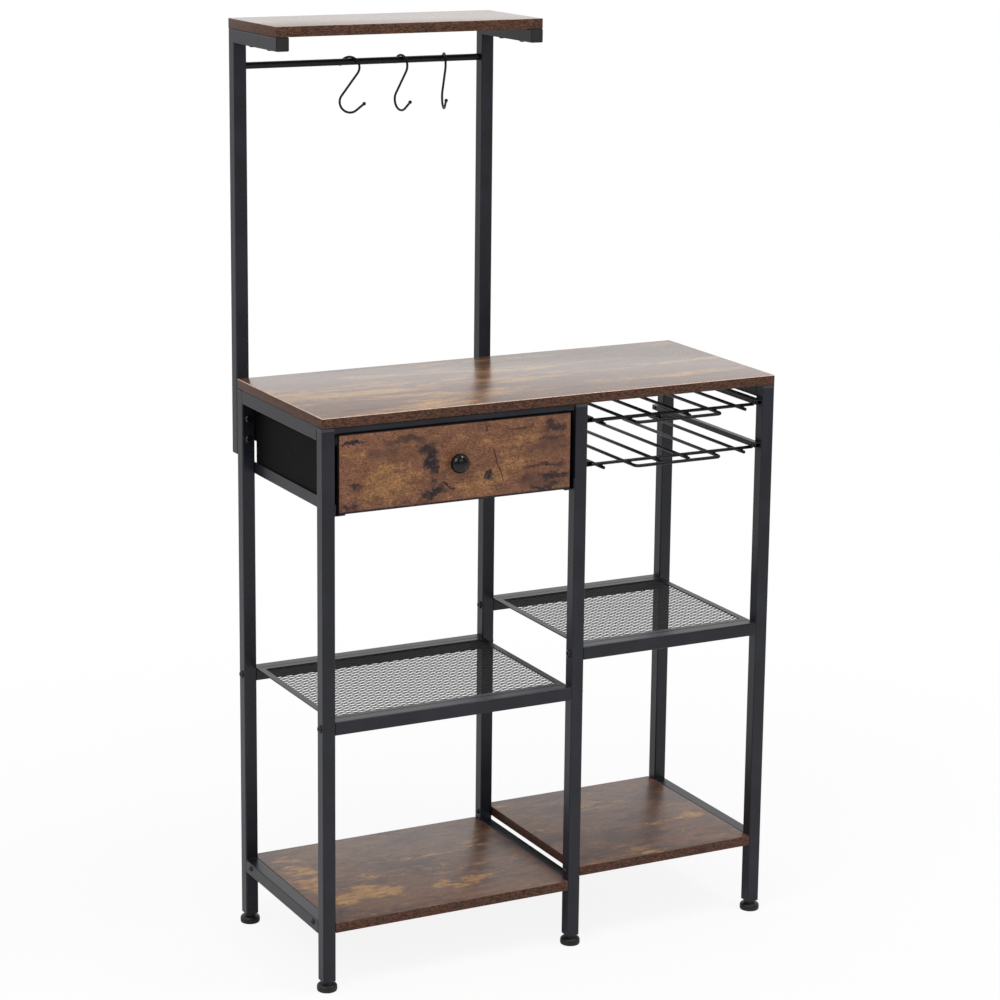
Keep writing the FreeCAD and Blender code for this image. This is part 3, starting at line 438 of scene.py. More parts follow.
drawer_warm = {"lower left": (78, 38, 62, 26, 0.9), "middle": (205, 30, 60, 22, 0.7),
               "upper": (215, 92, 40, 14, 0.6), "upper left": (25, 85, 22, 12, 0.6)}
print("drawer front:", len(drawer_smudges), "smudges and", len(drawer_warm), "warm patches")

# %% Scratch and lower line of the drawer front
SCRATCH_FOOT, SCRATCH_TIP = (262, 20), (239, 82)
SCRATCH_WIDTH, SCRATCH_CORE, SCRATCH_STRENGTH = 2.2 * MM, 0.3 * MM, 0.85
FOOT_FADE, TIP_FADE = (-4 * MM, 10 * MM), 50 * MM
WOBBLE_SCALE, WOBBLE_REACH = 60.0, 6 * MM
LINE_TOP, LINE_CORE, LINE_STRENGTH = 3.8 * MM, 2.6 * MM, 1.3


def drawer_soot(tree, place):
    """All smudges of the drawer front, its long scratch and its lower line, as one mask."""
    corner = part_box("drawer_front")[0]
    mask = spot_mask(tree, place, "drawer_front", True, drawer_smudges)
    foot, tip = (Vector((corner.x + x * MM, 0, corner.z + z * MM)) for x, z in (SCRATCH_FOOT, SCRATCH_TIP))
    run = (tip - foot).normalized()
    from_foot = vector_node(tree, "SUBTRACT", place, foot)[0]
    up = vector_node(tree, "DOT_PRODUCT", from_foot, run)["Value"]
    side = vector_node(tree, "DOT_PRODUCT", from_foot, (run.z, 0, -run.x))["Value"]
    wobble = math_node(tree, "SUBTRACT", stretched_noise(tree, place, WOBBLE_SCALE), 0.5)
    wobble = math_node(tree, "MULTIPLY", wobble, WOBBLE_REACH)
    side = math_node(tree, "ABSOLUTE", math_node(tree, "ADD", side, wobble))
    scratch = ramp(tree, side, SCRATCH_WIDTH, SCRATCH_CORE, 0.0, SCRATCH_STRENGTH)
    ends = math_node(tree, "MULTIPLY", ramp(tree, up, *FOOT_FADE), ramp(tree, up, (tip - foot).length, TIP_FADE))
    mask = math_node(tree, "MAXIMUM", mask, math_node(tree, "MULTIPLY", scratch, ends))
    height = node(tree, "SeparateXYZ", {0: place}).outputs["Z"]
    line = ramp(tree, height, corner.z + LINE_TOP, corner.z + LINE_CORE, 0.0, LINE_STRENGTH)
    return math_node(tree, "MAXIMUM", mask, line)


drawer_film = board_film("drawer_front_film", shift=(4.2, 0.3, 0.6), patch_size=8.0, warm=0.42, deep=0.34, soot=0.16,
                         roughness=0.5, lacquer=0.0, soot_spots=drawer_soot,
                         warm_spots=spots_on("drawer_front", drawer_warm, upright=True), stretch=(1.0, 1.6, 1.6),
                         shine=0.2, mottling=0.75, grain=0.4, Warm=screen_colour(138, 99, 65),
                         Ground=screen_colour(116, 79, 59), Deep=screen_colour(92, 63, 53),
                         Soot=screen_colour(32, 28, 35))

# %% [markdown]
# ## Edge bands, highlight rim and inner panels
# A strip of dark brown film is glued round the edge of each board. Its grain runs level on every side, so the noise is
# squeezed only along the height. On the worktop, the upper rounding between film and band is painted pale: a painted
# highlight, the thin line of light that the rounded edge catches. The drawer box is thin board with a plain black
# film, and its dowels are bare wood. All are fine streaks between two tones.

# %% Finishes: edge bands, painted highlight rim, black panel, dowel wood
STREAK_STRENGTH, STREAK_SPREAD = 0.25, 0.05


def streaked(name, dark, light, stretch, scale, roughness, shine, depth):
    """A film or bare wood with fine streaks."""
    material, tree, surface, place = start_material(name)
    streaks = stretched_noise(tree, place, scale, stretch, detail=5.0, roughness=0.62)
    colour = blend_colours(tree, ramp(tree, streaks, 0.3, 0.7), screen_colour(*dark), screen_colour(*light))
    rough = ramp(tree, streaks, 0.3, 0.7, roughness - STREAK_SPREAD, roughness + STREAK_SPREAD)
    cover(tree, surface, colour, rough, shine)
    add_bump(tree, surface, streaks, STREAK_STRENGTH, depth)
    print("finish:", name)
    return material


edge_band = streaked("brown_edge_band", dark=(24, 15, 12), light=(100, 65, 47), stretch=(1.0, 1.0, 3.0), scale=210.0,
                     roughness=0.45, shine=0.22, depth=0.2 * MM)
drawer_band = streaked("drawer_edge_band", dark=(16, 12, 11), light=(34, 25, 21), stretch=(1.0, 3.0, 1.0),
                       scale=210.0, roughness=0.5, shine=0.2, depth=0.2 * MM)
black_panel = streaked("black_panel_film", dark=(5, 5, 5), light=(10, 10, 10), stretch=(1.0, 1.0, 14.0), scale=40.0,
                       roughness=0.65, shine=0.07, depth=0.1 * MM)
# The worktop's upper rounding: a pale colour that is a painted highlight, the line of light along the edge.
painted_rim_highlight = streaked("worktop_rim_painted_highlight", dark=(176, 150, 134), light=(214, 190, 174), stretch=(1.0, 1.0, 1.0), scale=90.0,
                    roughness=0.35, shine=0.5, depth=0.1 * MM)
dowel_wood = streaked("dowel_wood", dark=(165, 130, 92), light=(196, 160, 118), stretch=(8.0, 8.0, 1.0), scale=60.0,
                      roughness=0.6, shine=0.3, depth=0.1 * MM)

# %% [markdown]
# ## From bmesh to piece
# Every new piece ends the same way: the bmesh becomes a mesh, curved faces are shaded smoothly while real edges stay
# crisp, and the object is parented to the body it moves with and takes its finish; the solid it stands for is hidden.

# %% Piece helper
steel_slot, wood_slot, plastic_slot = "black_steel", "wood_board", "black_plastic"
screw_slot, knob_slot = "black_fastener", "black_knob"


def piece(name, bm, body, materials, stands_for=(), crisp=35):
    """A finished object from a bmesh. Edges sharper than the crisp angle, in degrees, stay sharp."""
    mesh = bpy.data.meshes.new(name)
    bm.to_mesh(mesh)
    bm.free()
    for polygon in mesh.polygons:
        polygon.use_smooth = True
    mesh.set_sharp_from_angle(angle=math.radians(crisp))
    for material in materials:
        mesh.materials.append(material)
    made = bpy.data.objects.new(name, mesh)
    bpy.context.scene.collection.objects.link(made)
    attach(made, body)
    if stands_for:
        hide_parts(*stands_for)
    print(name, len(mesh.polygons), "faces")
    return made


def middle_of(node_name):
    low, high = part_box(node_name)
    return (low + high) / 2


print("middle of the worktop:", tuple(round(value, 3) for value in middle_of("worktop")))

# %% [markdown]
# ## Boards
# A board starts as a cube that is stretched to the size of its solid. A bevel takes off the sharp edge, as a trimming
# router does, and catches a thin line of light. Faces that look along the board's thin direction get the film, all
# others the edge band; the upper rounding has a pale finish on the worktop, a painted highlight of that line of light,
# and the dark band on the drawer front.

# %% Board helper
EDGE_ROUND, WORKTOP_ROUND = 0.8 * MM, 1.6 * MM
FLAT_FACE, RIM_FACE, DOWNWARD = 0.98, 0.3, -0.1
THIN_IN_DEPTH, THIN_IN_HEIGHT = 1, 2


def board(name, node_name, body, film, band, thin_axis, taller=0.0, rim=None, edge_round=EDGE_ROUND):
    """A board with film on its flat faces and a band round its edge; without a rim, the rounding has film too."""
    low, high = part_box(node_name)
    high = high + Vector((0, 0, taller))
    bm = bmesh.new()
    size = Matrix.Diagonal((*(high - low), 1.0))
    bmesh.ops.create_cube(bm, size=1.0, matrix=Matrix.Translation((low + high) / 2) @ size)
    bmesh.ops.bevel(bm, geom=bm.edges[:], offset=edge_round, segments=3, profile=0.5, affect="EDGES", material=-1)
    bm.normal_update()
    for face in bm.faces:
        flatness = abs(face.normal[thin_axis])
        on_rim = flatness > RIM_FACE and face.normal.z > DOWNWARD
        face.material_index = 0 if flatness > FLAT_FACE else 2 if on_rim else 1
    return piece(name, bm, body, (film, band, rim or film), (node_name,), crisp=30)


# %% Five boards
DRAWER_RISE = 1.5 * MM
# The worktop's upper rounding takes the pale painted highlight finish.
board("worktop_board", "worktop", "frame", worktop_film, edge_band, THIN_IN_HEIGHT, rim=painted_rim_highlight,
      edge_round=WORKTOP_ROUND)
board("top_shelf_board", "top_shelf", "frame", shelf_film, edge_band, THIN_IN_HEIGHT)
board("left_low_board", "left_bottom_board", "frame", left_film, edge_band, THIN_IN_HEIGHT)
board("right_low_board", "right_bottom_board", "frame", right_film, edge_band, THIN_IN_HEIGHT)
board("drawer_front_board", "drawer_front", "drawer", drawer_film, drawer_band, THIN_IN_DEPTH, taller=DRAWER_RISE,
      rim=drawer_band)

# %% [markdown]
# ## Round wire
# Hooks, rack and rod are round bar, bent cold. A wire is swept the way a bender works: a circle is extruded for each
# straight run and spun round a centre for each bend. The ends are closed and their rims rounded over. A curve with a
# bevel would be quicker, but its bends are harder to set to a true radius.

# %% Wire helper
BEND_STEP = math.radians(8)


def edges_in(geometry):
    return [item for item in geometry if isinstance(item, bmesh.types.BMEdge)]


def sweep_wire(bm, start, heading, moves, radius, sides=14):
    """Sweep a circle from start: a move is a run's length, or a bend's radius, its side and its angle."""
    place, heading = Vector(start), Vector(heading).normalized()
    across = Matrix.Translation(place) @ heading.to_track_quat("Z", "Y").to_matrix().to_4x4()
    first = bmesh.ops.create_circle(bm, segments=sides, radius=radius, matrix=across)["verts"]
    first_edges = list({edge for vert in first for edge in vert.link_edges})
    edges = first_edges
    for move in moves:
        if isinstance(move, tuple):
            bend_radius, side, angle = move
            side = Vector(side)
            side = (side - side.dot(heading) * heading).normalized()
            centre, axis = place + side * bend_radius, heading.cross(side)
            steps = max(4, round(angle / BEND_STEP))
            bend = bmesh.ops.spin(bm, geom=edges, cent=centre, axis=axis, angle=angle, steps=steps)
            turn = Matrix.Rotation(angle, 3, axis)
            place, heading = centre + turn @ (place - centre), turn @ heading
            edges = edges_in(bend["geom_last"])
        else:
            run = bmesh.ops.extrude_edge_only(bm, edges=edges)["geom"]
            moved = [item for item in run if isinstance(item, bmesh.types.BMVert)]
            bmesh.ops.translate(bm, verts=moved, vec=heading * move)
            place = place + heading * move
            edges = [edge for edge in edges_in(run) if set(edge.verts) <= set(moved)]
    for rim in (first_edges, edges):
        bmesh.ops.edgeloop_fill(bm, edges=rim)
    bmesh.ops.bevel(bm, geom=first_edges + edges, offset=radius * 0.5, segments=3, profile=0.5, affect="EDGES",
                    material=-1)
    return place, heading


def merge_and_face_out(bm):
    bmesh.ops.remove_doubles(bm, verts=bm.verts[:], dist=1e-6)
    bmesh.ops.recalc_face_normals(bm, faces=bm.faces[:])


print("wire helper ready, bends in steps of", round(math.degrees(BEND_STEP)), "degrees")

# %% [markdown]
# ## Hooks
# Each hook is an S with a ball formed on both ends. Seen from its own side, the upper bend starts behind the rod,
# goes over it, runs down in a slope and turns through the lower bend. The slope touches both circles, so its lean
# follows from the two radii and the distance between the centres. The hooks hang turned in different directions.

# %% Shape of a hook
HOOK_WIRE, BALL = 1.75 * MM, 2.8 * MM
UPPER_BEND, LOWER_BEND, HOOK_DROP = 15.0 * MM, 15.5 * MM, 52.0 * MM
UPPER_END, LOWER_END, TAIL = math.radians(165), math.radians(50), 16.0 * MM
ROD_GAP = 0.3 * MM
rod_low, rod_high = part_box("hanging_rod")
ROD_RADIUS = (rod_high.z - rod_low.z) / 2
lean = math.asin((UPPER_BEND + LOWER_BEND) / HOOK_DROP)
slope = math.sqrt(HOOK_DROP ** 2 - (UPPER_BEND + LOWER_BEND) ** 2)
top_centre = Vector((0, 0, ROD_RADIUS + ROD_GAP + HOOK_WIRE - UPPER_BEND))
reach = Vector((math.cos(UPPER_END), 0, math.sin(UPPER_END)))
begin = top_centre + UPPER_BEND * reach
first_way = (math.sin(UPPER_END), 0, -math.cos(UPPER_END))
hook_moves = [(UPPER_BEND, -reach, UPPER_END + lean), slope,
              (LOWER_BEND, (1, 0, 0), math.pi - LOWER_END + lean), TAIL]
print("slope of a hook:", round(slope / MM, 1), "mm, leaning", round(math.degrees(lean), 1), "degrees")

# %% Three hooks on the rod
# Degrees by which each hook is turned about the upright axis
hook_turns = {"first_hook": 50, "second_hook": 12, "third_hook": -17}
swings = {joint["child"]: Vector(joint["pos_m"]) for joint in frame["joints"] if joint["type"] == "hinge"}
for hook, degrees in hook_turns.items():
    bm = bmesh.new()
    end, _ = sweep_wire(bm, begin, first_way, hook_moves, HOOK_WIRE)
    for tip in (begin, end):
        bmesh.ops.create_uvsphere(bm, u_segments=16, v_segments=10, radius=BALL, matrix=Matrix.Translation(tip))
    merge_and_face_out(bm)
    turn = Matrix.Translation(swings[hook]) @ Matrix.Rotation(math.radians(degrees - 90), 4, "Z")
    bmesh.ops.transform(bm, matrix=turn, verts=bm.verts[:])
    piece(hook + "_wire", bm, hook, (wire_coat,), (hook,), crisp=60)

# %% [markdown]
# ## Hanging rod
# The rod is a thin tube whose ends sit in holes in the two posts. Only its outside shows, so one straight sweep with
# more sides than the wires is enough.

# %% Rod
rod_middle = middle_of("hanging_rod")
bm = bmesh.new()
sweep_wire(bm, (rod_low.x, rod_middle.y, rod_middle.z), (1, 0, 0), [rod_high.x - rod_low.x], ROD_RADIUS, sides=28)
merge_and_face_out(bm)
piece("rod_bar", bm, "frame", (wire_coat,), ("hanging_rod",), crisp=60)

# %% [markdown]
# ## Wire rack
# Two tiers of wire hang under the worktop on the right. In each, two cross wires are welded under the side bars, and
# the long wires under the cross wires: four of them single, two joined in front as one long loop.
# Small flattened blobs of weld sit where the wires cross.

# %% Spacing of the rack wires
RACK_WIRE, LEFT_GAP, RIGHT_GAP, LOOP_BEND = 2.5 * MM, 36.0 * MM, 22.0 * MM, 7.0 * MM
CROSS_INSET, FINGER_INSET, LOOP_INSET = 22.0 * MM, 13.0 * MM, 3.0 * MM
LONG_WIRES, SINGLE_WIRES, LOOP_WIRES = 6, (0, 2, 3, 5), (1, 4)
front_y, back_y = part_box("worktop")[0].y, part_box("worktop")[1].y
bay_left, bay_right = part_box("front_middle_leg")[1].x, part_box("front_right_leg")[0].x
pitch = (bay_right - bay_left - LEFT_GAP - RIGHT_GAP) / (LONG_WIRES - 1)
wire_xs = [bay_left + LEFT_GAP + pitch * index for index in range(LONG_WIRES)]
print("rack wires every", round(pitch / MM, 1), "mm")

# %% Two tiers of rack wires
BAR_INSET, BAR_BLOB_LIFT = 5 * MM, 2.0 * MM
BAR_BLOB, CROSS_BLOB = (3.6 * MM, 3.0 * MM, 1.2 * MM), (2.8 * MM, 2.8 * MM, 1.6 * MM)


def weld_blob(bm, spot, size):
    flat = Matrix.Translation(spot) @ Matrix.Diagonal((*size, 1.0))
    bmesh.ops.create_uvsphere(bm, u_segments=10, v_segments=6, radius=1.0, matrix=flat)


left_x, right_x = (wire_xs[index] for index in LOOP_WIRES)
loop_run = back_y - FINGER_INSET - (front_y + LOOP_INSET + LOOP_BEND)
loop_moves = [loop_run, (LOOP_BEND, (1, 0, 0), math.pi / 2), right_x - left_x - 2 * LOOP_BEND,
              (LOOP_BEND, (0, 1, 0), math.pi / 2), loop_run]
for tier in ("upper", "lower"):
    low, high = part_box(tier + "_rack_wires")
    cross_z, long_z = high.z - RACK_WIRE, low.z + RACK_WIRE
    bm = bmesh.new()
    for y in (front_y + CROSS_INSET, back_y - CROSS_INSET):
        sweep_wire(bm, (low.x, y, cross_z), (1, 0, 0), [high.x - low.x], RACK_WIRE)
        for x in (bay_left + BAR_INSET, bay_right - BAR_INSET):
            weld_blob(bm, (x, y, cross_z + BAR_BLOB_LIFT), BAR_BLOB)
        for x in wire_xs:
            weld_blob(bm, (x, y, (cross_z + long_z) / 2), CROSS_BLOB)
    for index in SINGLE_WIRES:
        sweep_wire(bm, (wire_xs[index], front_y + FINGER_INSET, long_z), (0, 1, 0),
                   [back_y - front_y - 2 * FINGER_INSET], RACK_WIRE)
    sweep_wire(bm, (left_x, back_y - FINGER_INSET, long_z), (0, -1, 0), loop_moves, RACK_WIRE)
    merge_and_face_out(bm)
    piece(tier + "_rack_wire_tier", bm, "frame", (wire_coat,), (tier + "_rack_wires",), crisp=60)

# %% [markdown]
# ## Expanded mesh
# Expanded metal is a sheet that is slit and pulled, so that each slit opens to a diamond and each strand twists.
# A grid that is turned by 45 degrees and squeezed gives the diamonds; insetting each face leaves the strands; tipping
# the two halves of each opening up and down gives the twist; and a solidify gives the sheet its thickness.

# %% Mesh of the two shelves
DIAMOND_LONG, DIAMOND_SHORT = 17.7 * MM, 9.0 * MM
STRAND, TWIST, SHEET, SHEET_SINK = 0.68 * MM, 0.25 * MM, 0.55 * MM, 0.3 * MM


def expanded_mesh(name, node_name):
    """A sheet of twisted strands that fills the box of a mesh solid."""
    low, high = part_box(node_name)
    size = high - low
    cells = math.ceil(max(size.x / DIAMOND_LONG, size.y / DIAMOND_SHORT) + 2) * 2
    bm = bmesh.new()
    bmesh.ops.create_grid(bm, x_segments=cells, y_segments=cells, size=cells / 2)
    squeeze = Matrix.Diagonal((DIAMOND_LONG / math.sqrt(2), DIAMOND_SHORT / math.sqrt(2), 1.0, 1.0))
    bmesh.ops.transform(bm, matrix=squeeze @ Matrix.Rotation(math.pi / 4, 4, "Z"), verts=bm.verts[:])
    for axis, half in ((0, size.x / 2), (1, size.y / 2)):
        for sign in (-1, 1):
            normal = Vector((0, 0, 0))
            normal[axis] = sign
            bmesh.ops.bisect_plane(bm, geom=bm.verts[:] + bm.edges[:] + bm.faces[:], dist=1e-7,
                                   plane_co=normal * half, plane_no=normal, clear_outer=True)
    openings = bm.faces[:]
    bmesh.ops.inset_individual(bm, faces=openings, thickness=STRAND)
    for face in openings:
        centre = face.calc_center_median()
        for vert in face.verts:
            tip = max(-1.0, min(1.0, (vert.co.y - centre.y) / (DIAMOND_SHORT / 4)))
            vert.co.z = -TWIST * tip
    bmesh.ops.delete(bm, geom=openings, context="FACES")
    bmesh.ops.solidify(bm, geom=bm.faces[:], thickness=SHEET)
    merge_and_face_out(bm)
    heights = [vert.co.z for vert in bm.verts]
    drop = (max(heights) + min(heights)) / 2 + SHEET_SINK
    bmesh.ops.translate(bm, verts=bm.verts[:], vec=middle_of(node_name) - Vector((0, 0, drop)))
    return piece(name, bm, "frame", (mesh_coat,), (node_name,), crisp=40)


expanded_mesh("left_mesh_sheet", "left_shelf_mesh")
expanded_mesh("right_mesh_sheet", "right_shelf_mesh")

# %% [markdown]
# ## Turned pieces
# Knob, feet and screws are round about an axis, so half a profile is drawn as a chain of points and spun once around.
# The socket of a screw starts as a round hole; pushing its ring of points in to a hexagon makes it fit a key.

# %% Turning helper
def turned(profile, steps, socket=None):
    """A bmesh spun from (radius, height) points in millimetres; points at the socket's radius form a hexagon."""
    bm = bmesh.new()
    verts = [bm.verts.new((radius * MM, 0, height * MM)) for radius, height in profile]
    edges = [bm.edges.new(pair) for pair in zip(verts, verts[1:])]
    bmesh.ops.spin(bm, geom=verts + edges, cent=(0, 0, 0), axis=(0, 0, 1), angle=2 * math.pi, steps=steps,
                   use_merge=True)
    merge_and_face_out(bm)
    if socket:
        for vert in bm.verts:
            if abs(math.hypot(vert.co.x, vert.co.y) - socket * MM) < 1e-6:
                angle = math.atan2(vert.co.y, vert.co.x) % (math.pi / 3)
                vert.co.xy *= math.cos(math.pi / 6) / math.cos(angle - math.pi / 6)
    return bm


def facing(spot, way):
    """Stand a turned piece on a spot, with its axis along a way."""
    return Matrix.Translation(spot) @ Vector(way).to_track_quat("Z", "Y").to_matrix().to_4x4()


LEFT, RIGHT, FORWARD, DOWN = (-1, 0, 0), (1, 0, 0), (0, -1, 0), (0, 0, -1)
print("turning helper ready")

# %% [markdown]
# ## Knob
# The knob is turned and lacquered to a high gloss: a slim neck on a small foot, and a swelling head with a low dome.
# The dome mirrors the lamp above it as a small bright spot, so its profile has many points.

# %% Turned knob
knob_profile = [(0, 0), (7, 0), (7, 0.7), (6.5, 1.4), (6.2, 3), (6.8, 4.3), (8.4, 5), (11, 5.6), (13.2, 6.9),
                (14.2, 8.4), (14.5, 10), (14.2, 12.2), (13.2, 14.4), (11.6, 16.4), (9.2, 18.2), (6.2, 19.3),
                (3.1, 19.85), (0, 20)]
knob_middle = middle_of("drawer_knob")
knob_spot = (knob_middle.x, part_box("drawer_knob")[1].y, knob_middle.z)
bm = turned(knob_profile, 48)
bmesh.ops.transform(bm, matrix=facing(knob_spot, FORWARD), verts=bm.verts[:])
piece("turned_knob", bm, "drawer", (knob_lacquer,), ("drawer_knob",), crisp=50)

# %% [markdown]
# ## Feet
# A levelling foot is a moulded plastic disc on a threaded stem that screws into the leg. The disc has a rounded rim,
# and a ring above it stops the foot against the tube. One profile holds disc, ring and stem.

# %% Six levelling feet
foot_profile = [(0, 0), (12.6, 0), (14.2, 0.6), (14.9, 2), (14.99, 4), (14.99, 6.4), (14.6, 8.4), (13.4, 10),
                (11.4, 10.8), (9.4, 11), (8.6, 11.6), (8.6, 13), (9, 13.4), (9, 15.6), (8.6, 16), (4, 16), (4, 34.4),
                (3.4, 35), (0, 35)]
for foot in [name for name in frame["bodies"] if name.endswith("_foot")]:
    foot_middle = middle_of(foot)
    bm = turned(foot_profile, 40)
    bmesh.ops.translate(bm, verts=bm.verts[:], vec=(foot_middle.x, foot_middle.y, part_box(foot)[0].z))
    piece(foot + "_disc", bm, foot, (foot_plastic,), (foot,), crisp=40)

# %% [markdown]
# ## Screws and bolts
# The frame goes together with low round-headed socket screws. One screw is turned per kind, and copied to each place
# with its axis along the way the head looks. All screws of a kind become one piece, as they are one node in the pack.

# %% Screw helper
def screw_mesh(shank, length, head, rise, socket):
    """One screw, in millimetres, with its head on the surface and its shank below."""
    profile = [(0, -length), (shank * 0.7, -length), (shank, -length + 0.8), (shank, 0), (head, 0),
               (head, rise * 0.22), (head * 0.93, rise * 0.55), (head * 0.76, rise * 0.85), (head * 0.6, rise),
               (socket, rise), (socket, rise * 0.25), (0, rise * 0.25)]
    bm = turned(profile, 24, socket)
    mesh = bpy.data.meshes.new("one_screw")
    bm.to_mesh(mesh)
    bm.free()
    return mesh


def screws(name, node_name, spots, **shape):
    """All screws of one kind as one piece: each spot is a place on the surface and the way the head looks."""
    template = screw_mesh(**shape)
    bm = bmesh.new()
    for spot, way in spots:
        count = len(bm.verts)
        bm.from_mesh(template)
        bm.verts.ensure_lookup_table()
        bmesh.ops.transform(bm, matrix=facing(spot, way), verts=bm.verts[count:])
    bpy.data.meshes.remove(template)
    return piece(name, bm, "frame", (screw_black,), (node_name,), crisp=40)


def leg_spot(leg, side, height):
    """A place on the left or right face of a leg, and the way out of it."""
    low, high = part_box(leg + "_leg")
    return (low.x if side == LEFT else high.x, (low.y + high.y) / 2, height), side


print("screw helpers ready")

# %% [markdown]
# ## Where the screws sit
# Screw places follow from the boxes of the pieces they join: the middle of a leg, the height of a rail or a board.
# Shelf bolts go through the legs into the shelf rails, and hutch bolts through the back legs into the posts.

# %% Shelf and hutch bolts
BOLT_DROPS = (58 * MM, 89 * MM)
shelf_spots = []
for row in ("front", "back"):
    left_height, right_height = (middle_of(f"{side}_shelf_{row}_rail").z for side in ("left", "right"))
    shelf_spots += [leg_spot(row + "_left", LEFT, left_height), leg_spot(row + "_middle", RIGHT, left_height),
                    leg_spot(row + "_middle", LEFT, right_height), leg_spot(row + "_right", RIGHT, right_height)]
screws("shelf_screw_set", "shelf_screws", shelf_spots, shank=3, length=28, head=6, rise=3.0, socket=2.4)

bolt_spots = []
for leg in ("back_left_leg", "back_middle_leg"):
    bolt_spots += [((middle_of(leg).x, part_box(leg)[0].y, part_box("worktop")[1].z - drop), FORWARD)
                   for drop in BOLT_DROPS]
screws("hutch_bolt_set", "hutch_bolts", bolt_spots, shank=3, length=26, head=6, rise=3.0, socket=2.4)

# %% [markdown]
# ## Screws of boards and racks
# The low boards are held from the sides, the worktop and the top shelf from below. The side bars of the wire rack are
# screwed to the legs with the smallest screws, from inside the bay.

# %% Board screws
BOARD_INSET, TOP_INSET, ARM_INSET = 38 * MM, 70 * MM, 45 * MM
left_z, right_z = middle_of("left_bottom_board").z, middle_of("right_bottom_board").z
board_spots = [leg_spot(row + "_middle", LEFT, right_z) for row in ("front", "back")]
for y in (front_y + BOARD_INSET, back_y - BOARD_INSET):
    board_spots += [((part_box("left_bottom_rail")[0].x, y, left_z), LEFT),
                    ((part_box("middle_bottom_rail")[1].x, y, left_z), RIGHT),
                    ((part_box("right_bottom_rail")[1].x, y, right_z), RIGHT)]
for rail in ("left_top_rail", "middle_top_rail", "right_top_rail"):
    board_spots += [((middle_of(rail).x, y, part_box(rail)[0].z), DOWN)
                    for y in (front_y + TOP_INSET, back_y - TOP_INSET)]
for arm in ("left_arm", "right_arm"):
    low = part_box(arm)[0]
    board_spots += [((middle_of(arm).x, y, low.z), DOWN) for y in (low.y + ARM_INSET, back_y - ARM_INSET)]
screws("board_screw_set", "board_screws", board_spots, shank=2, length=30, head=4.5, rise=2.4, socket=1.7)

# %% Rack screws
RACK_BAR, BAR_RISE = 10 * MM, 4 * MM
rack_spots = []
for tier in ("upper", "lower"):
    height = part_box(tier + "_rack_wires")[1].z + BAR_RISE
    for row in ("front", "back"):
        (left_spot, y, _), _ = leg_spot(row + "_middle", RIGHT, height)
        (right_spot, _, _), _ = leg_spot(row + "_right", LEFT, height)
        rack_spots += [((left_spot + RACK_BAR, y, height), RIGHT), ((right_spot - RACK_BAR, y, height), LEFT)]
screws("rack_screw_set", "rack_screws", rack_spots, shank=1.5, length=16, head=3.4, rise=1.7, socket=1.2)

# %% [markdown]
# ## Welds
# Rails are welded to the legs, and a bead of weld runs along the lower corner of each rail, and along the upper one
# where it shows: a row of small, half sunk drops, each overlapping the last and a little larger or smaller.

# %% Weld beads
BEAD, BEAD_STEP, BEAD_MARGIN = 1.15 * MM, 1.7 * MM, 4 * MM
SWELL, SWELL_RHYTHM, SWELL_SHIFT = 0.12, 2.3, 40
welded_rails = {"top": ("low",), "bottom": ("low", "high")}
bm = bmesh.new()
for level, edges in welded_rails.items():
    for side in ("left", "middle", "right"):
        low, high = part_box(f"{side}_{level}_rail")
        drops = int((high.x - low.x - BEAD_MARGIN) / BEAD_STEP)
        for y, z in [(y, low.z if edge == "low" else high.z) for y in (low.y, high.y) for edge in edges]:
            for drop in range(drops + 1):
                x = (low.x + high.x) / 2 + (drop - drops / 2) * BEAD_STEP
                swell = BEAD * (1.0 + SWELL * math.sin(SWELL_RHYTHM * drop + SWELL_SHIFT * y))
                flat = Matrix.Translation((x, y, z)) @ Matrix.Diagonal((BEAD, swell, swell, 1.0))
                bmesh.ops.create_uvsphere(bm, u_segments=7, v_segments=5, radius=1.0, matrix=flat)
piece("weld_beads", bm, "frame", (tube_coat,), crisp=70)

# %% [markdown]
# ## Leg caps
# A thin grey plastic cap closes the top of each leg, just under the worktop. It is a low block over the tube's end,
# with the tube's own corner rounding, and it stands out by a hair so that its edge casts a fine line. Its grey is
# lighter than the steel: partly the plastic's own colour, partly a painted highlight along the top of each leg.

# %% Caps on six legs
CAP_HEIGHT, CAP_PROUD, CAP_CORNER, CAP_EDGE = 4.5 * MM, 0.15 * MM, 2.0 * MM, 0.4 * MM
bm = bmesh.new()
for leg in [name for name in frame["nodes"] if name.endswith("_leg")]:
    low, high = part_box(leg)
    size = Matrix.Diagonal((high.x - low.x + 2 * CAP_PROUD, high.y - low.y + 2 * CAP_PROUD, CAP_HEIGHT, 1.0))
    spot = Vector(((low.x + high.x) / 2, (low.y + high.y) / 2, high.z - CAP_HEIGHT / 2))
    bmesh.ops.create_cube(bm, size=1.0, matrix=Matrix.Translation(spot) @ size)
upright = [edge for edge in bm.edges if abs(edge.verts[0].co.z - edge.verts[1].co.z) > CAP_HEIGHT / 2]
bmesh.ops.bevel(bm, geom=upright, offset=CAP_CORNER, segments=4, profile=0.5, affect="EDGES", material=-1)
cap_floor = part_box("front_left_leg")[1].z - CAP_HEIGHT
lower_rims = [edge for edge in bm.edges if all(vert.co.z < cap_floor + 1e-6 for vert in edge.verts)]
bmesh.ops.bevel(bm, geom=lower_rims, offset=CAP_EDGE, segments=2, profile=0.5, affect="EDGES", material=-1)
merge_and_face_out(bm)
# The caps' lighter grey is partly a painted highlight along the top of each leg.
piece("leg_top_caps", bm, "frame", (cap_plastic_and_highlight,), crisp=40)

# %% [markdown]
# ## Finishes on the solids that stay
# Tubes, strips, runners and the drawer box keep their solids. Each takes the finish that belongs to its material slot.

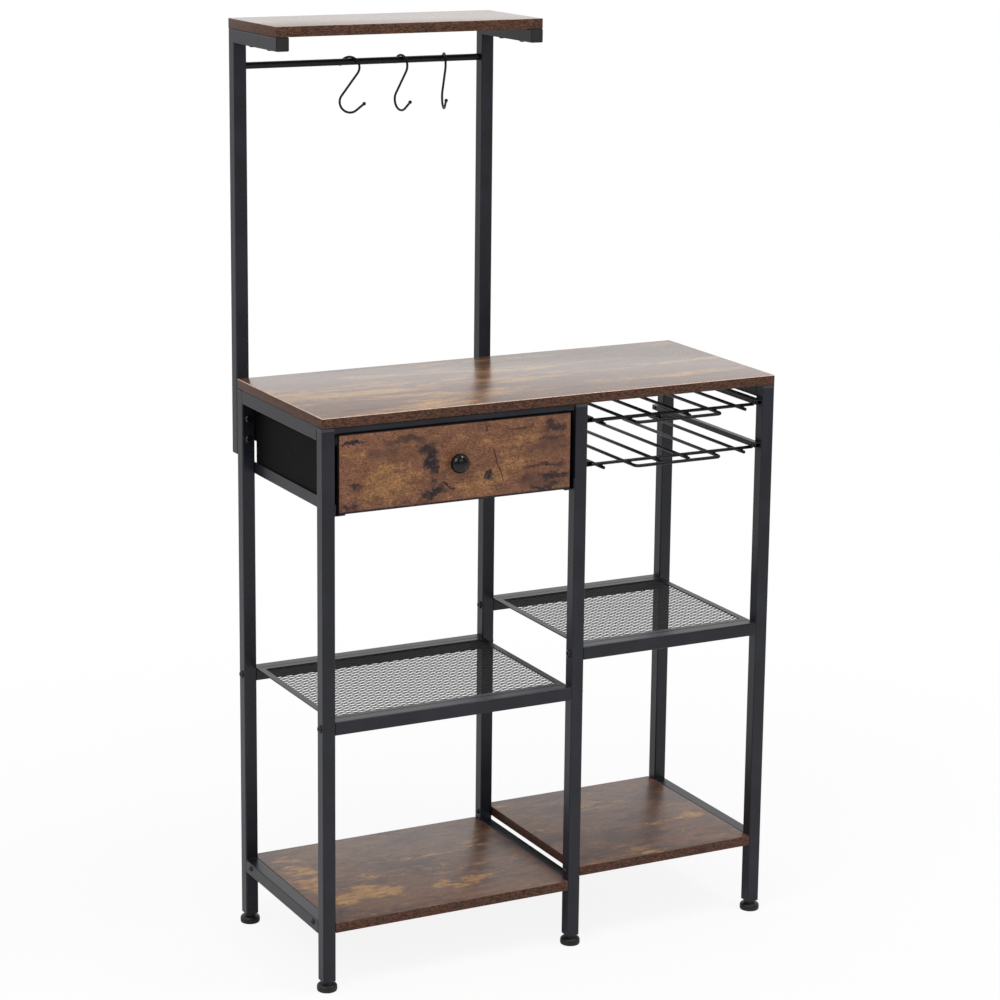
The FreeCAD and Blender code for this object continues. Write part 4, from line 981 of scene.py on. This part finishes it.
# %% Dress the solids
slot_finish = {steel_slot: tube_coat, wood_slot: edge_band, "black_panel": black_panel, "plain_wood": dowel_wood,
               plastic_slot: foot_plastic, knob_slot: knob_lacquer, screw_slot: screw_black}
node_slot = {part["node"]: part["material_slot"] for part in frame["record"]["subparts"]}
for name, solid in frame["nodes"].items():
    solid.data.materials.clear()
    solid.data.materials.append(slot_finish[node_slot[name]])
print(len(frame["nodes"]), "solids dressed")

# %% [markdown]
# ## Floor
# The picture was taken against white. A pale matt floor carries the soft shadow. What the camera sees of it is lifted
# towards pure white, fully so farther out, so the floor fades into the background without a line.

# %% Pale floor
FLOOR_HALF, FLOOR_TONE, FLOOR_ROUGHNESS = 30.0, 0.9, 0.9
NEAR, FAR, NEAR_LIFT, FAR_LIFT = 0.4, 1.8, 0.88, 1.0
bm = bmesh.new()
bmesh.ops.create_grid(bm, x_segments=1, y_segments=1, size=FLOOR_HALF)
floor_mesh = bpy.data.meshes.new("studio_floor")
bm.to_mesh(floor_mesh)
bm.free()
floor = bpy.data.objects.new("studio_floor", floor_mesh)
bpy.context.scene.collection.objects.link(floor)
floor_paint, tree, surface, place = start_material("pale_floor")
surface.inputs["Base Color"].default_value = (FLOOR_TONE, FLOOR_TONE, FLOOR_TONE, 1.0)
surface.inputs["Roughness"].default_value = FLOOR_ROUGHNESS
surface.inputs["Specular IOR Level"].default_value = 0.0
glow = node(tree, "Emission", {"Color": (1, 1, 1, 1), "Strength": 1.0})
seen = node(tree, "LightPath").outputs["Is Camera Ray"]
away = vector_node(tree, "LENGTH", place)["Value"]
lift = math_node(tree, "MULTIPLY", seen, ramp(tree, away, NEAR, FAR, NEAR_LIFT, FAR_LIFT))
mixed = node(tree, "MixShader", {0: lift, 1: surface.outputs[0], 2: glow.outputs[0]})
tree.links.new(mixed.outputs[0], tree.nodes["Material Output"].inputs["Surface"])
floor_mesh.materials.append(floor_paint)
print("floor:", 2 * FLOOR_HALF, "m wide")

# %% [markdown]
# ## World
# The world is white for what the camera and glossy surfaces see, and dimmer as a lamp. A real studio is darker behind
# the viewer, so reflections from that side are dimmed too; that keeps the steel black.

# %% White studio
AMBIENT, ROOM = 0.62, 0.3
ROOM_BACK, ROOM_FRONT = -0.6, 0.2
world = bpy.data.worlds.new("white_studio")
world.use_nodes = True
bpy.context.scene.world = world
tree = world.node_tree
paths = node(tree, "LightPath").outputs
shown = math_node(tree, "MAXIMUM", paths["Is Camera Ray"],
                  math_node(tree, "MAXIMUM", paths["Is Glossy Ray"], paths["Is Transmission Ray"]))
way = node(tree, "SeparateXYZ", {0: node(tree, "TexCoord").outputs["Generated"]}).outputs
wall = ramp(tree, way["Y"], ROOM_BACK, ROOM_FRONT, ROOM, 1.0)
wall = math_node(tree, "MAXIMUM", wall, paths["Is Camera Ray"])
strength = node(tree, "Mix", {0: shown, 2: AMBIENT, 3: wall}).outputs[0]
tree.links.new(strength, tree.nodes["Background"].inputs["Strength"])
tree.nodes["Background"].inputs["Color"].default_value = (1, 1, 1, 1)
print("world:", AMBIENT, "as a lamp")

# %% [markdown]
# ## Lamps
# A large soft box at the upper left gives the main light and the soft shadow to the right. A weak one in front fills
# the drawer and the bays, and a small one above gives the knob its highlight. All three aim at the drawer's height.

# %% Soft boxes
AIM = Vector((0, 0, 0.7))


def soft_box(name, spot, size, watts):
    lamp = bpy.data.lights.new(name, "AREA")
    lamp.shape, lamp.size, lamp.energy = "SQUARE", size, watts
    holder = bpy.data.objects.new(name, lamp)
    holder.location = spot
    holder.rotation_mode = "QUATERNION"
    holder.rotation_quaternion = (AIM - Vector(spot)).to_track_quat("-Z", "Y")
    bpy.context.scene.collection.objects.link(holder)
    print("lamp", name, watts, "W")


soft_box("upper_left_box", (-2.6, -1.6, 3.2), size=2.2, watts=54)
soft_box("front_box", (0.6, -3.6, 2.4), size=2.0, watts=15)
soft_box("small_upper_box", (1.2, -1.2, 3.2), size=0.75, watts=26)

# %% [markdown]
# ## Camera
# The camera stands where the photograph was taken: its place, turn and lens were found from the corners of the
# worktop, shelf and legs. The small shift keeps the framing of a picture that was cropped off centre.

# %% Camera
CAMERA_SPOT = (-1.96781, -3.73832, 1.71330)
YAW, PITCH, ROLL = math.radians(26.825), math.radians(12.559), math.radians(0.452)
SENSOR, LENS, SHIFT, FAR_CLIP = 36.0, 103.82, (0.04, -0.07), 100.0
forward = Vector((math.sin(YAW) * math.cos(PITCH), math.cos(YAW) * math.cos(PITCH), -math.sin(PITCH)))
level = Vector((math.cos(YAW), -math.sin(YAW), 0))
upward = level.cross(forward)
across = level * math.cos(ROLL) + upward * math.sin(ROLL)
upward = upward * math.cos(ROLL) - level * math.sin(ROLL)
camera = bpy.data.objects.new("camera", bpy.data.cameras.new("camera"))
camera.data.sensor_width, camera.data.lens = SENSOR, LENS
camera.data.shift_x, camera.data.shift_y = SHIFT
camera.data.clip_end = FAR_CLIP
camera.matrix_world = Matrix.Translation(CAMERA_SPOT) @ Matrix((across, upward, -forward)).transposed().to_4x4()
bpy.context.scene.collection.objects.link(camera)
bpy.context.scene.camera = camera
bpy.context.scene.view_settings.view_transform = "Standard"
print("camera:", LENS, "mm lens")
